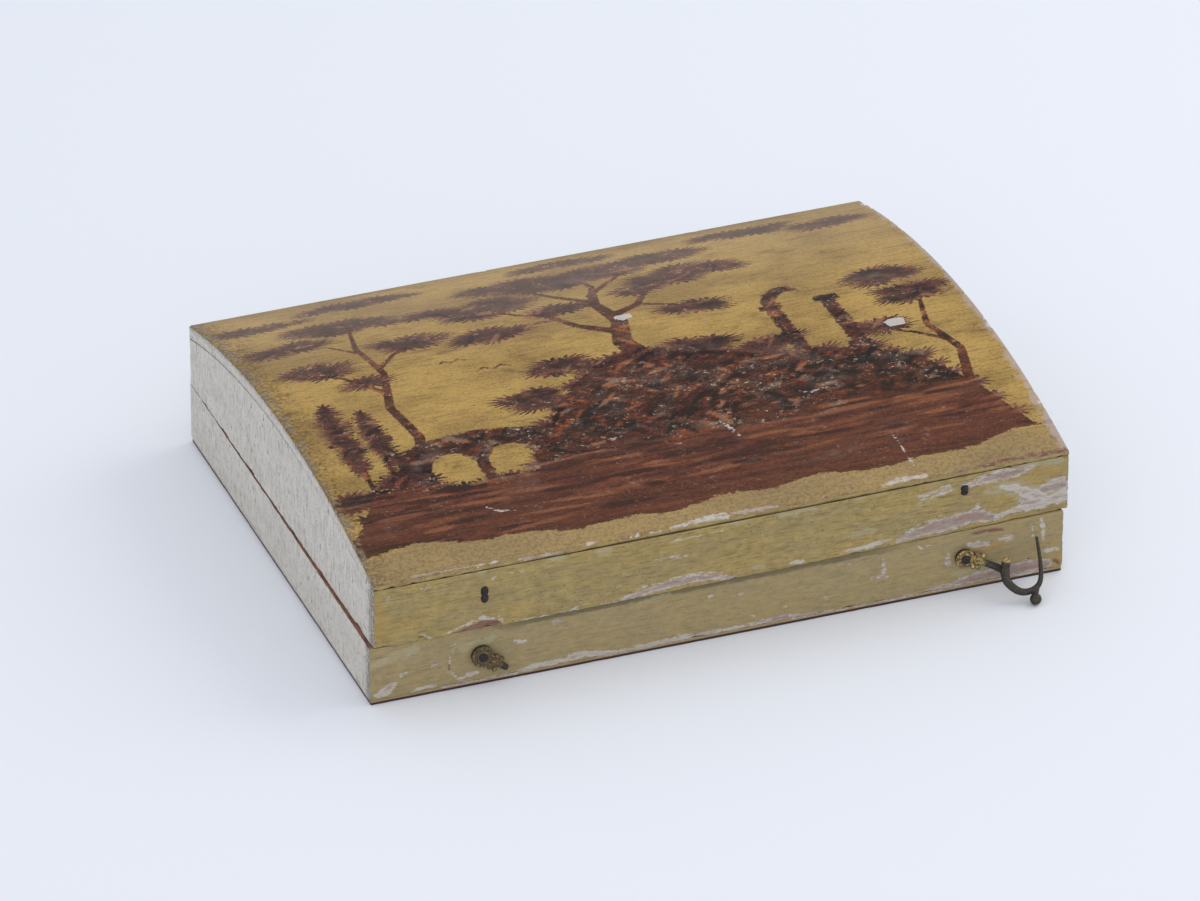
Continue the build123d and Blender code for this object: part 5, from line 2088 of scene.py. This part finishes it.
@dataclass(frozen=True)
class BrokenEye:
    """What is left of an eye that a hook's finger went into: a stub, worn thin at both ends."""

    name: str
    profile: tuple[tuple[float, float], ...] = (
        (-1.0, 0.45), (-0.9, 0.72), (-0.68, 0.92), (-0.35, 1.0), (0.0, 0.86), (0.35, 1.0),
        (0.68, 0.96), (0.9, 0.78), (1.0, 0.5),
    )

    def build(self, metal: bpy.types.Material) -> bpy.types.Object:
        """Make the stub in the place of its node.

        Args:
            metal: Its material.

        Returns:
            Its object.
        """
        low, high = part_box(self.name)
        middle, half = (low + high) / 2 / MM, (high - low) / 2 / MM
        mesh = bmesh.new()
        line = [Vector((0, 0, place)) for place, _ in self.profile]
        add_rod(mesh, line, [width for _, width in self.profile], sides=20)
        bmesh.ops.recalc_face_normals(mesh, faces=mesh.faces)
        place = Matrix.Translation(middle) @ Matrix.Diagonal((*half, 1.0))
        bmesh.ops.transform(mesh, matrix=place, verts=mesh.verts)
        return Piece(f"{self.name}_stub", "lid", "iron", (self.name,)).put(mesh, None, [metal])


# -------------------------------------------------------------------- the stage
@dataclass(frozen=True)
class Lamp:
    """One soft square lamp: its place and its side in metres, and its power in watts."""

    name: str
    place: Point
    side: float
    power: float


@dataclass(frozen=True)
class Stage:
    """Pale table, soft light and the camera, their places in metres."""

    camera_place: Point = (-1.3506, -3.5739, 2.2599)
    aim: Point = (0.00770, 0.04816, 0.0)
    lens: float = 301.8
    sensor: float = 36.0
    farthest: float = 20.0
    table: Colour = tint(238, 241, 245)
    table_half: float = 4.0
    sky: Colour = tint(236, 240, 250)
    sky_strength: float = 0.91
    lamp_colour: Point = (1.0, 0.95, 0.88)
    lamp_aim: Point = (0.0, 0.0, 0.03)
    lamps: tuple[Lamp, ...] = (
        Lamp("key", (1.7, 0.1, 1.6), 1.7, 12.0),
        Lamp("fill", (-1.4, -2.2, 1.8), 1.8, 11.0),
    )

    def look(self, place: Vector, aim: Vector) -> Matrix:
        """A frame at place that looks at aim, level with the horizon."""
        turn = (aim - place).to_track_quat("-Z", "Y")
        return Matrix.Translation(place) @ turn.to_matrix().to_4x4()

    def build_camera(self) -> None:
        """Make the camera."""
        data = bpy.data.cameras.new("camera")
        data.lens = self.lens
        data.sensor_width = self.sensor
        data.sensor_fit = "HORIZONTAL"
        data.clip_end = self.farthest
        camera = bpy.data.objects.new("camera", data)
        bpy.context.scene.collection.objects.link(camera)
        camera.matrix_world = self.look(Vector(self.camera_place), Vector(self.aim))
        bpy.context.scene.camera = camera

    def build_table(self) -> None:
        """Make the table that the box stands on."""
        mesh = bmesh.new()
        bmesh.ops.create_grid(mesh, x_segments=1, y_segments=1, size=self.table_half)
        data = bpy.data.meshes.new("table")
        mesh.to_mesh(data)
        mesh.free()
        paint = Paint("table")
        data.materials.append(
            paint.finish({"Base Color": self.table, "Roughness": 0.9, "Specular IOR Level": 0.1})
        )
        table = bpy.data.objects.new("table", data)
        bpy.context.scene.collection.objects.link(table)

    def hang(self, lamp: Lamp) -> None:
        """Hang one lamp that shines at the box.

        Args:
            lamp: The lamp.
        """
        data = bpy.data.lights.new(lamp.name, "AREA")
        data.shape = "SQUARE"
        data.size = lamp.side
        data.energy = lamp.power
        data.color = self.lamp_colour
        hung = bpy.data.objects.new(lamp.name, data)
        bpy.context.scene.collection.objects.link(hung)
        hung.matrix_world = self.look(Vector(lamp.place), Vector(self.lamp_aim))

    def build_light(self) -> None:
        """Make the sky and the lamps."""
        world = bpy.data.worlds.new("studio")
        world.use_nodes = True
        background = world.node_tree.nodes["Background"]
        background.inputs["Color"].default_value = self.sky
        background.inputs["Strength"].default_value = self.sky_strength
        bpy.context.scene.world = world
        for lamp in self.lamps:
            self.hang(lamp)

    def build(self) -> None:
        """Make everything."""
        bpy.context.scene.view_settings.view_transform = "Standard"
        self.build_camera()
        self.build_table()
        self.build_light()


def dress_node(name: str, material: bpy.types.Material) -> None:
    """Give a piece of the frame its material.

    Args:
        name: Its node.
        material: The material.
    """
    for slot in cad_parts[name].material_slots:
        slot.material = material


def main() -> None:
    """Build the box piece by piece."""
    logging.basicConfig(level=logging.INFO)
    Stage().build()
    ochre = WallFinish(
        "front_paint", tint(167, 144, 87), tint(153, 136, 95), tint(94, 80, 52), (10.0, 10.0, 0.8), 0.66,
        (1.7, 1.7, 0.9), 0.75, 0.70, losses=True, mottling=0.6,
    ).material()
    grey = WallFinish(
        "end_paint", tint(210, 204, 193), tint(200, 194, 183), tint(82, 75, 67), (1.8, 1.8, 9.0), 0.36,
        (1.0, 1.0, 4.6), 1.0, 0.78, mottling=0.4, corner_grime=0.75, end_lines=1.0,
        low_tone=tint(186, 179, 167), high_tone=tint(217, 212, 202),
    ).material()
    plain = WallFinish(
        "back_paint", tint(170, 150, 102), tint(158, 143, 102), tint(100, 86, 60), (10.0, 10.0, 0.8), 0.6,
        (1.7, 1.7, 0.9), 0.7, 0.70, mottling=0.5,
    ).material()
    inside = WoodFinish("inside_wash", tint(158, 92, 62), tint(104, 60, 44), (40.0, 40.0, 1.6)).material()
    rim = WoodFinish("rim_bole", tint(142, 94, 70), tint(92, 62, 50), (12.0, 12.0, 1.2)).material()
    joint = WoodFinish("joint_wood", tint(88, 62, 46), tint(52, 38, 32), (20.0, 20.0, 1.2)).material()
    bare = WoodFinish("bottom_wood", tint(150, 116, 82), tint(98, 72, 52), (60.0, 2.2, 3.0)).material()
    brass = MetalFinish("hook_brass", tint(64, 62, 57), tint(198, 174, 116), 0.7, True).material()
    iron = MetalFinish("iron", tint(42, 40, 43), tint(62, 56, 54), 0.6, False).material()
    finishes = {
        Side.FRONT: ochre, Side.END: grey, Side.BACK: plain, Side.INSIDE: inside, Side.RIM: rim,
        Side.JOINT: joint,
    }
    for board in boards():
        board.build(finishes)
    BottomBoard().build(bare, finishes)
    TopBoard().build(TopFinish().material(), finishes)
    SwivelHook("right_hook", "right_hook", "right_hook_pin", math.radians(5.6), True).build(brass)
    SwivelHook(
        "left_hook_stub", "left_hook", "left_hook_pin", math.radians(-9.0), False, ring_radius=4.9, bead=0.8
    ).build(brass)
    for name in ("left_catch", "right_catch"):
        BrokenEye(name).build(iron)
    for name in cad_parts:
        if any(part in name for part in IRON_PARTS):
            dress_node(name, iron)


if __name__ == "__main__":
    main()
